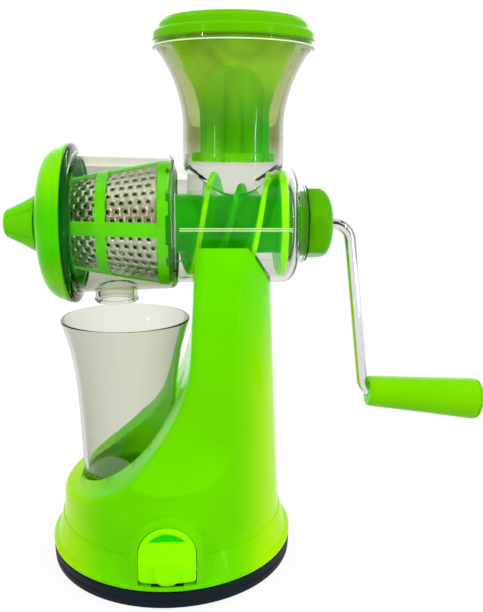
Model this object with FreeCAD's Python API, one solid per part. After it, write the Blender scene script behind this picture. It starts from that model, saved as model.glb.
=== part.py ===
import FreeCAD, Part
import os
import math

# Hand cranked auger juicer on a vacuum base. Millimetres.
# Origin: centre of the rubber foot on the table. +X runs along the barrel towards the crank, +Z is up.

os.makedirs("parts", exist_ok=True)

# ---------------- driving dimensions ----------------
BASE_R = 75.0          # outer radius of the foot and of the stand's lower lip
FOOT_H = 11.5          # height of the rubber foot under the lip
LIP_H = 2.4            # height of the stand's lower lip
FLANK_Y = BASE_R - 22.0               # half width of the pillar where its sides flare out
FLARE_R = 40.0
BOOT_R = 100.0         # radius of the scooped opening over the tumbler
BOOT_X = -87.0
BOOT_Z = 145.0
RIM_FILLET = 5.0
CREASE_FILLET = 4.0
STAND_TOP = 197.0      # top of the two cheeks that hold the barrel
STAND_WALL = 3.0       # wall of the hollow stand
AXIS_Z = 207.0         # height of the barrel, auger and crank axis
CUP_X = -27.0          # vertical axis of the tumbler
CUP_FLOOR = 46.0       # floor of the cup recess
HOPPER_X = 38.0        # vertical axis of the hopper and pusher
HOPPER_TOP = 309.0     # rim of the hopper
HOPPER_R = 45.9        # radius of the rim
THROAT_R = 29.2        # radius of the straight throat over the barrel
BARREL_R = 35.0        # outside of the clear barrel
BARREL_WALL = 3.0
BORE_R = BARREL_R - BARREL_WALL
BARREL_X0 = -4.0       # open end of the barrel inside the chamber
BARREL_X1 = 75.0       # rear face of the barrel
COLLAR_R = 23.4
COLLAR_BORE_R = 19.5
COLLAR_X1 = 80.3
MOUTH_X = -56.4        # left face of the chamber flange
MOUTH_R = BARREL_R + 4.9              # bore of the chamber mouth
CHAMBER_END = 5.0      # right face of the chamber
SPOUT_X = -32.0
SPOUT_R = 12.6
SPOUT_BORE_R = 10.0
SPOUT_Z = 160.5
ROD_R = 3.5            # crank rod
HUB_R = 11.0           # drive hub where it runs in the barrel wall
KEY_W = 10.0           # square drive key
PIN_R = 1.6            # lever pin
STUD_R = 5.0
LEVER_X = -1.0         # middle of the lever
LEVER_Y = -69.5        # lever pivot
LEVER_Z = 22.5
CAM_E = 2.333          # eccentricity of the lever's cam
CAM_R = 6.0
SADDLE_X0 = BOOT_X + BOOT_R + 11.0    # block under the barrel that sinks into the pillar
SADDLE_X1 = SADDLE_X0 + 26.0
SADDLE_HALF = 11.0
SADDLE_Z = AXIS_Z - 41.0
SADDLE_SCREWS = (SADDLE_X0 + 6.0, SADDLE_X1 - 6.0)
SEAL_X = 2.7           # groove of the seal between barrel and chamber
SEAL_R = BARREL_R - 1.4
RUN = 0.05             # radial running clearance
GAP = 0.3              # clearance between pieces that are set together
BAR_GAP = 0.08         # lift bar above the cam


# ---------------- helpers ----------------
def vec(x, y, z):
    return FreeCAD.Vector(x, y, z)


def corner(prev, here, after, r):
    """Start, middle and end of a rounded corner in the plane."""
    ux, uy = prev[0] - here[0], prev[1] - here[1]
    vx, vy = after[0] - here[0], after[1] - here[1]
    lu, lv = math.hypot(ux, uy), math.hypot(vx, vy)
    ux, uy, vx, vy = ux / lu, uy / lu, vx / lv, vy / lv
    half = math.acos(max(-1.0, min(1.0, ux * vx + uy * vy))) / 2.0
    cut = r / math.tan(half)
    bx, by = ux + vx, uy + vy
    lb = math.hypot(bx, by)
    reach = r / math.sin(half) - r
    start = (here[0] + ux * cut, here[1] + uy * cut)
    end = (here[0] + vx * cut, here[1] + vy * cut)
    mid = (here[0] + bx / lb * reach, here[1] + by / lb * reach)
    return start, mid, end


def outline(points, place):
    """Closed face. A point is (a, b), (a, b, corner radius) or ("via", a, b) for an arc."""
    flat = [p for p in points if p[0] != "via"]
    spans = []
    for i, p in enumerate(flat):
        if len(p) > 2 and p[2] > 0:
            spans.append(corner(flat[i - 1], p, flat[(i + 1) % len(flat)], p[2]))
        else:
            spans.append((p[:2], None, p[:2]))
    vias = {}
    k = -1
    for p in points:
        if p[0] == "via":
            vias[k] = (p[1], p[2])
        else:
            k += 1
    edges = []
    for i, (start, mid, end) in enumerate(spans):
        if mid is not None:
            edges.append(Part.Arc(place(*start), place(*mid), place(*end)).toShape())
        nxt = spans[(i + 1) % len(spans)][0]
        if i in vias:
            edges.append(Part.Arc(place(*end), place(*vias[i]), place(*nxt)).toShape())
        elif math.hypot(nxt[0] - end[0], nxt[1] - end[1]) > 1e-6:
            edges.append(Part.makeLine(place(*end), place(*nxt)))
    return Part.Face(Part.Wire(edges))


def lathe_z(points, x=0.0, y=0.0):
    """Solid turned about a vertical axis from (radius, height) points."""
    face = outline(points, lambda r, z: vec(x + r, y, z))
    return face.revolve(vec(x, y, 0), vec(0, 0, 1), 360)


def lathe_x(points, z=AXIS_Z):
    """Solid turned about the barrel axis from (x, radius) points."""
    face = outline(points, lambda x, r: vec(x, 0, z + r))
    return face.revolve(vec(0, 0, z), vec(1, 0, 0), 360)


def rod_x(r, x0, x1, y=0.0, z=AXIS_Z):
    return Part.makeCylinder(r, x1 - x0, vec(x0, y, z), vec(1, 0, 0))


def rod_y(r, y0, y1, x, z):
    return Part.makeCylinder(r, y1 - y0, vec(x, y0, z), vec(0, 1, 0))


def rod_z(r, z0, z1, x=0.0, y=0.0):
    return Part.makeCylinder(r, z1 - z0, vec(x, y, z0), vec(0, 0, 1))


def ring_x(r_in, r_out, x0, x1, z=AXIS_Z):
    return rod_x(r_out, x0, x1, 0, z).cut(rod_x(r_in, x0 - 1, x1 + 1, 0, z))


def box(x0, x1, y0, y1, z0, z1):
    return Part.makeBox(x1 - x0, y1 - y0, z1 - z0, vec(x0, y0, z0))


def slab_xz(points, y0, y1):
    """Prism with an (x, z) outline."""
    return outline(points, lambda x, z: vec(x, y0, z)).extrude(vec(0, y1 - y0, 0))


def slab_yz(points, x0, x1):
    """Prism with a (y, z) outline."""
    return outline(points, lambda y, z: vec(x0, y, z)).extrude(vec(x1 - x0, 0, 0))


def turn_x(shape, deg, z=AXIS_Z):
    copy = shape.copy()
    copy.rotate(vec(0, 0, z), vec(1, 0, 0), deg)
    return copy


def hexagon_x(r, x0, x1, deg):
    pts = [(r * math.cos(math.radians(deg + 60 * k)), AXIS_Z + r * math.sin(math.radians(deg + 60 * k)))
           for k in range(6)]
    return slab_yz(pts, x0, x1)


def hexagon_z(r, z0, z1, x=0.0, y=0.0):
    pts = [vec(x + r * math.cos(math.radians(60 * k)), y + r * math.sin(math.radians(60 * k)), z0)
           for k in range(7)]
    return Part.Face(Part.makePolygon(pts)).extrude(vec(0, 0, z1 - z0))


def fuse(first, *rest):
    shape = first.multiFuse(list(rest)) if rest else first
    return shape.removeSplitter()


def one(shape):
    """The single solid inside a boolean result, or the shape as it is when there are more."""
    return shape.Solids[0] if len(shape.Solids) == 1 else shape


def save(node, shape):
    shape = one(shape)
    for s in shape.Solids:
        if not s.isValid() or s.Volume <= 0:
            print("CHECK", node, "solid not valid", s.Volume)
    print("%-16s solids %d volume %.0f" % (node, len(shape.Solids), shape.Volume))
    shape.exportStep("parts/" + node + ".step")


# ---------------- stand ----------------
def mirrored(points):
    """The same outline on the other side of the middle plane, in reverse order."""
    out = []
    for p in reversed(points):
        out.append(("via", -p[1], p[2]) if p[0] == "via" else (-p[0],) + p[1:])
    return out


def pedestal(g, floor):
    """Round tapered pillar with the lip, groove and sloping skirt at its foot."""
    lip = FOOT_H + LIP_H
    return lathe_z([(0, floor), (BASE_R - g, floor), (BASE_R - g, lip), (BASE_R - 2.3 - g, lip + 0.6),
                    (BASE_R - 2.6 - g, lip + 2.2), (BASE_R - 6.8 - g, lip + 14.6, 6),
                    (BASE_R - 7.6 - g, lip + 20, 6),
                    (BASE_R - 15.5 - g, STAND_TOP + 2), (0, STAND_TOP + 2)])


def flanks(g):
    """Leaning sides that flare out into the skirt."""
    r = FLARE_R + g
    lean = math.radians(3.97)
    y = FLANK_Y + FLARE_R * math.cos(lean)
    z = 91 + FLARE_R * math.sin(lean)
    half = [(y, 0), (y, z - r), ("via", y - r * math.cos(0.8), z - r * math.sin(0.8)),
            (y - r * math.cos(lean), z - r * math.sin(lean)), (FLANK_Y - 3.4 - g, 140, 1400),
            (FLANK_Y - 11.0 - g, STAND_TOP + 3)]
    return slab_yz(half + mirrored(half), -BASE_R - 5, BASE_R + 5)


def boot_cut(g):
    """Scooped opening over the tumbler, running up into the leaning front face of the pillar."""
    r = BOOT_R + g
    lean = math.radians(2.77)
    x = BOOT_X + r * math.cos(lean)
    z = BOOT_Z - r * math.sin(lean)
    top = STAND_TOP + 6
    mid = ("via", BOOT_X + r * math.cos(0.8), BOOT_Z - r * math.sin(0.8))
    return slab_xz([(BOOT_X, BOOT_Z - r), mid, (x, z),
                    (x + (top - z) * math.tan(lean), top), (-200, top), (-200, BOOT_Z - r)], -90, 90)


def stand_form(g, floor, top):
    """Leaning green pedestal, drawn in by g all round."""
    x = 45 - 0.6 * g
    slope = slab_xz([(x, STAND_TOP), (x, 230), (90, 230), (90 - 0.6 * g, 127.6)], -90, 90)
    lid = box(-90, 90, -90, 90, top, top + 60)
    return pedestal(g, floor).common(flanks(g)).cut(boot_cut(g)).cut(slope).cut(lid)


def middle(edge):
    return edge.valueAt((edge.FirstParameter + edge.LastParameter) / 2.0)


def on_boot(p):
    """Whether a point lies on the scooped opening or on the leaning face above it."""
    lean = math.radians(2.77)
    x = BOOT_X + BOOT_R * math.cos(lean)
    z = BOOT_Z - BOOT_R * math.sin(lean)
    if p.z < z:
        return abs(math.hypot(p.x - BOOT_X, p.z - BOOT_Z) - BOOT_R) < 0.05
    return abs(p.x - x - (p.z - z) * math.tan(lean)) < 0.05


def soften(body):
    """Round the long creases of the pillar, then the rim of the scooped opening."""
    crease = []
    for e in body.Edges:
        m = middle(e)
        heights = [v.Z for v in e.Vertexes]
        if m.x > 10 and abs(m.y) > 30 and m.z > 60 and max(heights) - min(heights) > 8 and not on_boot(m):
            crease.append(e)
    body = body.makeFillet(CREASE_FILLET, crease)
    rim = []
    for e in body.Edges:
        crosses = abs(middle(e).y) < 1 and middle(e).z > 100
        if on_boot(middle(e)) and all(on_boot(v.Point) for v in e.Vertexes) and not crosses:
            rim.append(e)
    return body.makeFillet(RIM_FILLET, rim)


def cup_recess(extra, floor):
    return lathe_z([(0, floor), (29.4 + extra, floor), (30.2 + extra, 64), (31.3 + extra, 84),
                    (34.6 + extra, 107), (39 + extra, 135), (0, 135)], CUP_X)


ARCH_HALF = 16.3       # half width of the opening round the lever
ARCH_SPRING = 34.0     # height where its sides turn into the rounded top
ARCH_TOP = 47.8
SURROUND_HALF = 20.3
SURROUND_TOP = 52.6


def arch(half, z0, spring, crown, y0, y1, r=0.0):
    """Door-shaped prism with a rounded top, centred on the lever; r rounds its lower corners."""
    left, right = LEVER_X - half, LEVER_X + half
    pts = [(left, z0, r), (right, z0, r), (right, spring), ("via", LEVER_X, crown), (left, spring)]
    return slab_xz(pts, y0, y1)


def lever_surround():
    """Raised arch round the lever, with the two cheeks that carry its pin."""
    low = FOOT_H + LIP_H + 0.2
    skin = lathe_z([(0, low), (BASE_R - 0.2, low), (74.2, 21), (73.0, 33), (69.4, 54), (0, 54)])
    return arch(SURROUND_HALF, low, ARCH_SPRING, SURROUND_TOP, -80, -57).common(skin)


def screw_spots():
    return [(61.0 * math.cos(math.radians(a)), 61.0 * math.sin(math.radians(a))) for a in (38, 142, 218, 322)]


def stand_body():
    body = soften(stand_form(0.0, FOOT_H, STAND_TOP))
    body = body.cut(cup_recess(0.0, CUP_FLOOR))
    body = body.cut(rod_x(BARREL_R + GAP, 0, 90))
    inner = stand_form(STAND_WALL, FOOT_H - 1, SADDLE_Z - 3).cut(cup_recess(0.0, CUP_FLOOR))
    inner = inner.cut(cup_recess(STAND_WALL, CUP_FLOOR - STAND_WALL))
    posts = [rod_z(4.5, FOOT_H + 2.5, 30, x, y) for x, y in screw_spots()]
    inner = inner.cut(Part.makeCompound([lever_surround()] + posts))
    body = body.cut(inner).fuse(lever_surround())
    body = body.cut(arch(ARCH_HALF, FOOT_H + LIP_H + 0.1, ARCH_SPRING, ARCH_TOP, -90, -50))
    body = body.cut(box(LEVER_X - 9, LEVER_X + 9, -74.0, -60, FOOT_H + 1.6, FOOT_H + LIP_H + 1))
    body = body.cut(rod_x(PIN_R + RUN, LEVER_X - 18.9, LEVER_X + 18.9, LEVER_Y, LEVER_Z))
    for x, y in screw_spots():
        body = body.cut(rod_z(1.5 + RUN, FOOT_H, 26, x, y))
    half = SADDLE_HALF + GAP
    body = body.cut(box(SADDLE_X0 - GAP, SADDLE_X1 + GAP, -half, half, SADDLE_Z - GAP, SADDLE_Z + 10))
    for x in SADDLE_SCREWS:
        body = body.cut(rod_z(1.5 + GAP, SADDLE_Z - 6, SADDLE_Z + 4, x, 0))
    return one(body.removeSplitter())


def base_plate():
    plate = rod_z(71.6, FOOT_H, FOOT_H + 2.4)
    plate = plate.fuse(rod_z(9, FOOT_H, 21)).cut(rod_z(STUD_R + RUN, 0, 40))
    for y in (-30, 24):
        plate = plate.fuse(rod_z(3, FOOT_H + 1, 38, 0, y))
    for x, y in screw_spots():
        plate = plate.cut(rod_z(1.5 + GAP, 0, 40, x, y))
        plate = plate.cut(rod_z(3.2 + GAP, 0, FOOT_H + 1.2, x, y))
    plate = plate.cut(box(LEVER_X - 9, LEVER_X + 9, -80, -64, FOOT_H + 1.2, 30))
    return plate.removeSplitter()


def base_screws():
    out = []
    for x, y in screw_spots():
        head = rod_z(3.2, FOOT_H + 0.1, FOOT_H + 1.2, x, y)
        out.append(head.fuse(rod_z(1.5, FOOT_H + 0.1, 25, x, y)).removeSplitter())
    return Part.makeCompound(out)


def suction_pad():
    pad = lathe_z([(0, 0), (16, 0), (19, 1.4), (60, 1.4), (64, 0), (BASE_R - 1.5, 0), (BASE_R, 1.6),
                   (BASE_R, FOOT_H - 0.6), (BASE_R - 0.6, FOOT_H), (68, FOOT_H), (64.5, 6.5), (14, 6.5),
                   (13, 9.5), (0, 9.5)])
    pocket = rod_z(9 + GAP, 5, 7.3).fuse(rod_z(STUD_R + GAP, 7, 12))
    return pad.cut(pocket).removeSplitter()


def vacuum_stud():
    stud = rod_z(9, 5.2, 7.2).fuse(rod_z(STUD_R, 5.2, LEVER_Z + 4.5 + BAR_GAP))
    return stud.fuse(rod_z(3, 20, 36)).removeSplitter()


def lift_bar():
    z0 = LEVER_Z + CAM_R - CAM_E * math.sin(math.radians(40)) + BAR_GAP
    bar = box(LEVER_X - 7, LEVER_X + 7, -69, 30, z0, z0 + 3).fuse(rod_z(13, z0, z0 + 3))
    bar = bar.cut(rod_z(3 + RUN, 0, 60))
    for y in (-30, 24):
        bar = bar.cut(rod_z(3 + RUN, 0, 60, 0, y))
    return bar.removeSplitter()


def stud_nut():
    z0 = LEVER_Z + CAM_R - CAM_E * math.sin(math.radians(40)) + BAR_GAP + 3
    return hexagon_z(5.7, z0, z0 + 4.5).cut(rod_z(3 + RUN, 0, 60))


LEVER_GAP = 0.4        # between the lever and the arch round it
DISC_R = 7.4           # round boss over the lever's pivot
DISC_Y = -76.0
SCOOP_HALF = 10.5      # finger scoop near the top of the lever
SCOOP_Z = 39.0
SCOOP_TOP = 44.2


def vacuum_lever():
    foot = FOOT_H + LIP_H + 1.5
    outer = [(75.4, foot, 2.5), (75.2, 28.6, 4), (73.4, 31.6, 4), (72.3, 42), (71.0, 48.5)]
    skin = lathe_z([(0, foot)] + outer + [(0, 48.5)])
    core = lathe_z([(0, 14), (71.6, 14), (71.6, 24), (70.4, 32), (68.6, 42), (67.4, 49), (0, 49)])
    plate = arch(ARCH_HALF - LEVER_GAP, foot, ARCH_SPRING, ARCH_TOP - LEVER_GAP, -80, -60, 3.5)
    plate = plate.common(skin).cut(core)
    half = ARCH_HALF - LEVER_GAP - 0.1
    hub = rod_x(4.2, LEVER_X - half, LEVER_X + half, LEVER_Y, LEVER_Z)
    a = math.radians(40)
    cam = rod_x(CAM_R, LEVER_X - 7, LEVER_X + 7, LEVER_Y + CAM_E * math.cos(a), LEVER_Z - CAM_E * math.sin(a))
    disc = rod_y(DISC_R, DISC_Y, -71.5, LEVER_X, LEVER_Z)
    disc = disc.fuse(rod_y(DISC_R - 0.4, DISC_Y - 0.3, -71.5, LEVER_X, LEVER_Z))
    disc = disc.common(box(-30, 30, -80, -70, foot + 0.5, 40))
    lever = plate.fuse(hub.common(skin)).fuse(cam.common(skin)).fuse(disc)
    scoop = [(LEVER_X - SCOOP_HALF, SCOOP_Z), (LEVER_X + SCOOP_HALF, SCOOP_Z), ("via", LEVER_X, SCOOP_TOP)]
    lever = lever.cut(slab_xz(scoop, -80, -69.9))
    lever = lever.cut(rod_x(PIN_R + RUN, LEVER_X - 20, LEVER_X + 20, LEVER_Y, LEVER_Z))
    return one(lever.removeSplitter())


def lever_pin():
    return rod_x(PIN_R, LEVER_X - 18.7, LEVER_X + 18.7, LEVER_Y, LEVER_Z)


# ---------------- clear barrel and hopper ----------------
def bayonet_lug(r_in, r_out, x0, x1, half_deg, at_deg):
    """Block on a cylinder about the barrel axis; 0 degrees is the near side, positive is up."""
    lug = ring_x(r_in, r_out, x0, x1)
    pts = [(0, AXIS_Z)]
    for d in (-half_deg, half_deg):
        a = math.radians(d)
        pts.append((-70 * math.cos(a), AXIS_Z + 70 * math.sin(a)))
    wedge = slab_yz(pts, x0 - 1, x1 + 1)
    return turn_x(lug.common(wedge), -at_deg)


LUG_DEG = 0.0          # height of the near lug as an angle
LUG_HALF = 12.2
LUG_R = BARREL_R + 1.7
LUG_X0 = -0.4
LUG_X1 = 2.2
TWIST = 28.0           # turn that brings the chamber's notches to the lugs


def hopper_skin(t, bottom, top):
    """Throat and flare of the hopper, drawn in by t."""
    throat, rim = THROAT_R - t, HOPPER_R - t
    return lathe_z([(0, bottom), (throat, bottom), (throat, 260), ("via", 32.4 - t, 282.0), (44.0 - t, 305),
                    (rim, 306.6), (rim, top), (0, top)], HOPPER_X)


def feed_barrel():
    tube = lathe_x([(BARREL_X0, 0), (BARREL_X0, BARREL_R), (BARREL_X1, BARREL_R, 8), (BARREL_X1, 0)])
    collar = lathe_x([(70, 0), (70, COLLAR_R), (COLLAR_X1, COLLAR_R, 1.2), (COLLAR_X1, 0)])
    foot = box(SADDLE_X0, SADDLE_X1, -SADDLE_HALF, SADDLE_HALF, SADDLE_Z, AXIS_Z - BORE_R - 1)
    rail_y = BARREL_R + 0.4
    rails = [box(7, 66, s * rail_y - 0.8, s * rail_y + 0.8, AXIS_Z - 0.1, AXIS_Z + 2.1) for s in (-1, 1)]
    lugs = [bayonet_lug(BARREL_R - 1.5, LUG_R, LUG_X0, LUG_X1, LUG_HALF, LUG_DEG + a) for a in (0, 180)]
    body = fuse(tube, collar, foot, hopper_skin(0.0, AXIS_Z, HOPPER_TOP), *(rails + lugs))
    bore = lathe_x([(BARREL_X0 - 2, 0), (BARREL_X0 - 2, BORE_R), (BARREL_X1 - BARREL_WALL, BORE_R, 5),
                    (BARREL_X1 - BARREL_WALL, 0)])
    body = body.cut(bore).cut(hopper_skin(2.2, AXIS_Z, HOPPER_TOP + 1))
    body = body.cut(rod_x(COLLAR_BORE_R, BARREL_X1, 90)).cut(rod_x(HUB_R + RUN, 60, 90))
    body = body.cut(ring_x(SEAL_R, BARREL_R + 2, SEAL_X, SEAL_X + 2.0))
    for x in SADDLE_SCREWS:
        body = body.cut(rod_z(1.5 + RUN, SADDLE_Z - 6, SADDLE_Z + 5.5, x, 0))
    return one(body.removeSplitter())


def chamber_seal():
    x0, x1 = SEAL_X + 0.2, SEAL_X + 1.8
    outer = BARREL_R + 0.25
    return lathe_x([(x0, SEAL_R + 0.2), (x0, outer, 0.5), (x1, outer, 0.5), (x1, SEAL_R + 0.2)])


def barrel_screws():
    out = []
    for x in SADDLE_SCREWS:
        head = rod_z(3.2, SADDLE_Z - 5.4, SADDLE_Z - 3, x, 0)
        out.append(head.fuse(rod_z(1.5, SADDLE_Z - 5, SADDLE_Z + 5, x, 0)).removeSplitter())
    return Part.makeCompound(out)


# ---------------- juice chamber ----------------
DRUM_X = -52.0         # where the drum's axis starts, just above the barrel axis
DRUM_Z = 207.4
DRUM_TILT = 0.6        # degrees the axis rises towards the barrel, so the floor falls towards the spout
DRUM_R = BARREL_R + 6.0               # at the flange
DRUM_TAPER = 1.6       # how much smaller the drum is at the barrel
DRUM_ROUND = 4.5       # round edge of the drum at the barrel
CHAMBER_WALL = 1.8
FLANGE_R = MOUTH_R + 7.0
FLANGE_END = -50.6     # right end of the flange's sloping shoulder
MOUTH_STEP = DRUM_X - 0.6
HUB_X = LUG_X1 + GAP   # left face of the ring that turns on the barrel


def chamber_form(start, t, edge):
    """Drum from start to its closed end, drawn in by t, with a rounded edge."""
    end = CHAMBER_END - t
    drum = lathe_x([(start, 0), (start, DRUM_R - t), (end, DRUM_R - DRUM_TAPER - t, edge), (end, 0)], DRUM_Z)
    drum.rotate(vec(DRUM_X, 0, DRUM_Z), vec(0, 1, 0), -DRUM_TILT)
    return drum


def juice_chamber():
    flange = lathe_x([(MOUTH_X, 0), (MOUTH_X, FLANGE_R, 0.8), (FLANGE_END - 2.8, FLANGE_R - 0.5, 2.2),
                      (FLANGE_END - 0.6, DRUM_R + 0.6, 0.8), (FLANGE_END, DRUM_R - 1), (FLANGE_END, 0)])
    low = SPOUT_Z + 2
    bead = SPOUT_R + 0.6
    spout = lathe_z([(0, SPOUT_Z), (bead, SPOUT_Z, 0.6), (bead, low, 0.6), (SPOUT_R, low + 0.2),
                     (SPOUT_R, 180), (0, 180)], SPOUT_X)
    drum = chamber_form(DRUM_X, 0.0, DRUM_ROUND)
    hollow = chamber_form(DRUM_X - 3, CHAMBER_WALL, 1.5)
    hub = rod_x(DRUM_R, HUB_X, CHAMBER_END + 3).common(drum)
    body = drum.cut(hollow).fuse(hub).fuse(flange).fuse(spout)
    body = body.cut(rod_x(MOUTH_R, MOUTH_X - 1, MOUTH_STEP))
    body = body.cut(hollow.common(box(MOUTH_X - 3, HUB_X, -60, 60, 100, 300)))
    body = body.cut(rod_z(SPOUT_BORE_R, 150, 180, SPOUT_X))
    body = body.cut(rod_x(BARREL_R + 0.35, -3, 10))
    for a in (0, 180):
        notch = bayonet_lug(30, LUG_R + 0.5, LUG_X1, 8, LUG_HALF + 1.0, LUG_DEG - TWIST + a)
        body = body.cut(notch)
    return one(body.removeSplitter())


# ---------------- strainer ----------------
RIM_R = BARREL_R + 1.5 # green ring round the open end of the strainer
RIM_X0 = -5.2
HOOP_X0 = -38.2        # hoop round the middle of the strainer
HOOP_X1 = -32.8


def mesh_r(x):
    """Outside of the perforated cone."""
    return BARREL_R - 11.0 + (x + 61.0) * 10.5 / 55.0


def cone_shell(x0, x1, low, high):
    r0, r1 = mesh_r(x0), mesh_r(x1)
    return lathe_x([(x0, r0 + low), (x0, r0 + high), (x1, r1 + high), (x1, r1 + low)])


def strainer_mesh():
    return cone_shell(-60.5, RIM_X0 - 0.1, -0.6, 0.0)


def strainer_frame():
    skin = cone_shell(-61, -5, 0.1, 1.4)
    cross = box(-61, -5, -60, 60, AXIS_Z - 4, AXIS_Z + 4).fuse(box(-61, -5, -4, 4, AXIS_Z - 60, AXIS_Z + 60))
    ribs = skin.common(turn_x(cross, -LUG_DEG))
    mid = cone_shell(HOOP_X0, HOOP_X1, 0.1, 1.5)
    nose = lathe_x([(-62.5, 22.0), (-62.5, 26.0), (-57, 26.4), (-57, mesh_r(-57) + 0.1),
                    (-61.0, mesh_r(-61) + 0.1), (-61.0, 22.0)])
    stop = BARREL_X0 - GAP
    foot = BARREL_R - 0.1
    rim = lathe_x([(RIM_X0, foot), (RIM_X0, RIM_R), (LUG_X0 - GAP, RIM_R), (LUG_X0 - GAP, BARREL_R + GAP),
                   (stop, BARREL_R + GAP), (stop, foot)])
    crown = ring_x(BARREL_R + GAP, RIM_R, LUG_X0 - 2 * GAP, LUG_X0 + 1.0)
    for a in range(0, 360, 30):
        half = LUG_HALF + 0.8 if a % 180 == 0 else 5.0
        crown = crown.cut(bayonet_lug(30, 40, LUG_X0 - GAP, 2, half, LUG_DEG + a))
    return fuse(ribs, mid, nose, rim, crown)


# ---------------- front cap and pulp nozzle ----------------
CAP_X = MOUTH_X - 0.2  # rim of the cap, just clear of the flange
CAP_FACE = -75.2       # flat round the nozzle
GROOVE_X = MOUTH_X - 2.0
GROOVE_R = MOUTH_R + 4.2              # outside of the gasket's groove
PLUG_R = MOUTH_R - 0.4 # ring of the cap that stands in the chamber mouth
NOZZLE_R = 16.5        # bore of the cap for the nozzle
NOZZLE_X = CAP_FACE - 1.0
NOZZLE_TIP = -95.4


def front_cap():
    outer = [(CAP_X, 0), (CAP_X, FLANGE_R, 0.8), (-59.8, 45.7, 0.8), (-60.3, 45.2),
             ("via", -66.9, 42.0), (-71.2, 35.0), ("via", -73.5, 27.0), (CAP_FACE, 18.4, 0.6), (CAP_FACE, 0)]
    inner = [(-50, 0), (-50, PLUG_R - 2.2), (-64.5, PLUG_R - 2.2, 4), (-68.4, 33.0, 6), (-70.9, 27.5, 4),
             (-72.6, 20.0, 2), (-72.9, 0)]
    cap = lathe_x(outer).fuse(ring_x(PLUG_R - 2.2, PLUG_R, -60, MOUTH_STEP - 0.4))
    cap = cap.cut(lathe_x(inner)).cut(ring_x(PLUG_R, GROOVE_R, GROOVE_X, -50))
    cap = cap.fuse(ring_x(26.8, 29.0, -71.5, -58.5))
    cap = cap.fuse(ring_x(NOZZLE_R, NOZZLE_R + 3.0, CAP_FACE + 1.2, -66))
    cap = cap.cut(rod_x(NOZZLE_R, -80, -60))
    return cap.removeSplitter()


def cap_gasket():
    return ring_x(MOUTH_R + 0.6, GROOVE_R - 0.1, GROOVE_X, MOUTH_X)


def pulp_nozzle():
    body = lathe_x([(-66.0, NOZZLE_R - 0.1), (NOZZLE_X, NOZZLE_R - 0.1), (NOZZLE_X, 17.6, 0.5),
                    (-84.5, 12.8, 20),
                    (NOZZLE_TIP + 1.0, 8.0, 1), (NOZZLE_TIP, 6.6), (NOZZLE_TIP, 4.6), (-83, 8.6), (-75, 13.4),
                    (-66.0, 14.0)])
    tip = vec(NOZZLE_TIP + 2.0, 0, 9.0)
    base = vec(NOZZLE_X - 0.7, 0, 18.8)
    flute = Part.makeCone(1.0, 3.0, tip.distanceToPoint(base), tip, base.sub(tip))
    flute.translate(vec(0, 0, AXIS_Z))
    for k in range(6):
        body = body.cut(turn_x(flute, 60 * k))
    return one(body.removeSplitter())


def nozzle_ring():
    return lathe_x([(NOZZLE_X, NOZZLE_R), (NOZZLE_X, 17.6, 0.3), (CAP_FACE, 17.6, 0.3), (CAP_FACE, NOZZLE_R)])


# ---------------- auger ----------------
AUGER_CORE = 17.6
AUGER_R = BORE_R - 1.4
AUGER_PITCH = 32.0
AUGER_START = -21.0    # from here the flight runs at full radius; before it, it follows the strainer cone
AUGER_TIP = -58.0
AUGER_TIP_R = AUGER_R - 7.4
AUGER_DISC = 64.0      # front face of the disc that closes the barrel behind the flight
AUGER_BACK = 68.0
NOSE_TURNS = 1.5
LOW_FLIGHT_R = 24.0    # shorter flight between the turns, under the hopper
LOW_FLIGHT_X = 22.0
LOW_FLIGHT_END = 54.0


def flight(start_x, end_x, r0, r1, turns, phase):
    """Left-hand helical flight towards +X, its outer radius going from r0 to r1."""
    length = end_x - start_x
    depth = AUGER_R - AUGER_CORE + 1.0
    path = Part.makeHelix(length / turns, length, r0, math.degrees(math.atan2(r1 - r0, length)), True)
    foot = r0 - depth
    pts = [vec(r0, 0, -1.3), vec(r0, 0, 1.3), vec(foot, 0, 3.0), vec(foot, 0, -3.0), vec(r0, 0, -1.3)]
    blade = Part.Wire(path.Edges).makePipeShell([Part.makePolygon(pts)], True, True)
    blade.rotate(vec(0, 0, 0), vec(0, 0, 1), phase)
    blade.rotate(vec(0, 0, 0), vec(0, 1, 0), 90)
    blade.translate(vec(start_x, 0, AXIS_Z))
    return blade


def auger():
    disc_r = BORE_R - 0.8
    core = lathe_x([(-70, 0), (-70, 5.0, 2), (-62, 9.5, 4), (-56, 13.0, 8), (AUGER_START, AUGER_CORE, 20),
                    (AUGER_DISC, AUGER_CORE), (AUGER_DISC, disc_r, 0.8), (AUGER_BACK, disc_r, 0.8),
                    (AUGER_BACK, 0)])
    rear_turns = (AUGER_DISC - AUGER_START) / AUGER_PITCH
    rear = flight(AUGER_START, AUGER_DISC, AUGER_R, AUGER_R, rear_turns, 0)
    nose = flight(AUGER_TIP, AUGER_START, AUGER_TIP_R, AUGER_R, NOSE_TURNS, 360 * NOSE_TURNS)
    low_turns = (LOW_FLIGHT_END - LOW_FLIGHT_X) / AUGER_PITCH
    low_phase = 360 * (AUGER_START - LOW_FLIGHT_X) / AUGER_PITCH + 180
    low = flight(LOW_FLIGHT_X, LOW_FLIGHT_END, LOW_FLIGHT_R, LOW_FLIGHT_R, low_turns, low_phase)
    body = turn_x(core, 37).fuse(rear).fuse(nose).fuse(low)
    half = KEY_W / 2 + RUN
    socket = box(62, 72, -half, half, AXIS_Z - half, AXIS_Z + half)
    return one(body.cut(socket).removeSplitter())


# ---------------- crank ----------------
GRIP_DEG = -5.2
BEND_1 = (108.0, AXIS_Z)
BEND_2 = (121.1, 101.2)


def grip_point(s):
    """Point s along the grip axis from the mouth of the grip."""
    a = math.radians(GRIP_DEG)
    x0 = 124.0 - BEND_2[0]
    return vec(BEND_2[0] + (x0 + s) * math.cos(a), 0, BEND_2[1] + (x0 + s) * math.sin(a))


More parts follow.
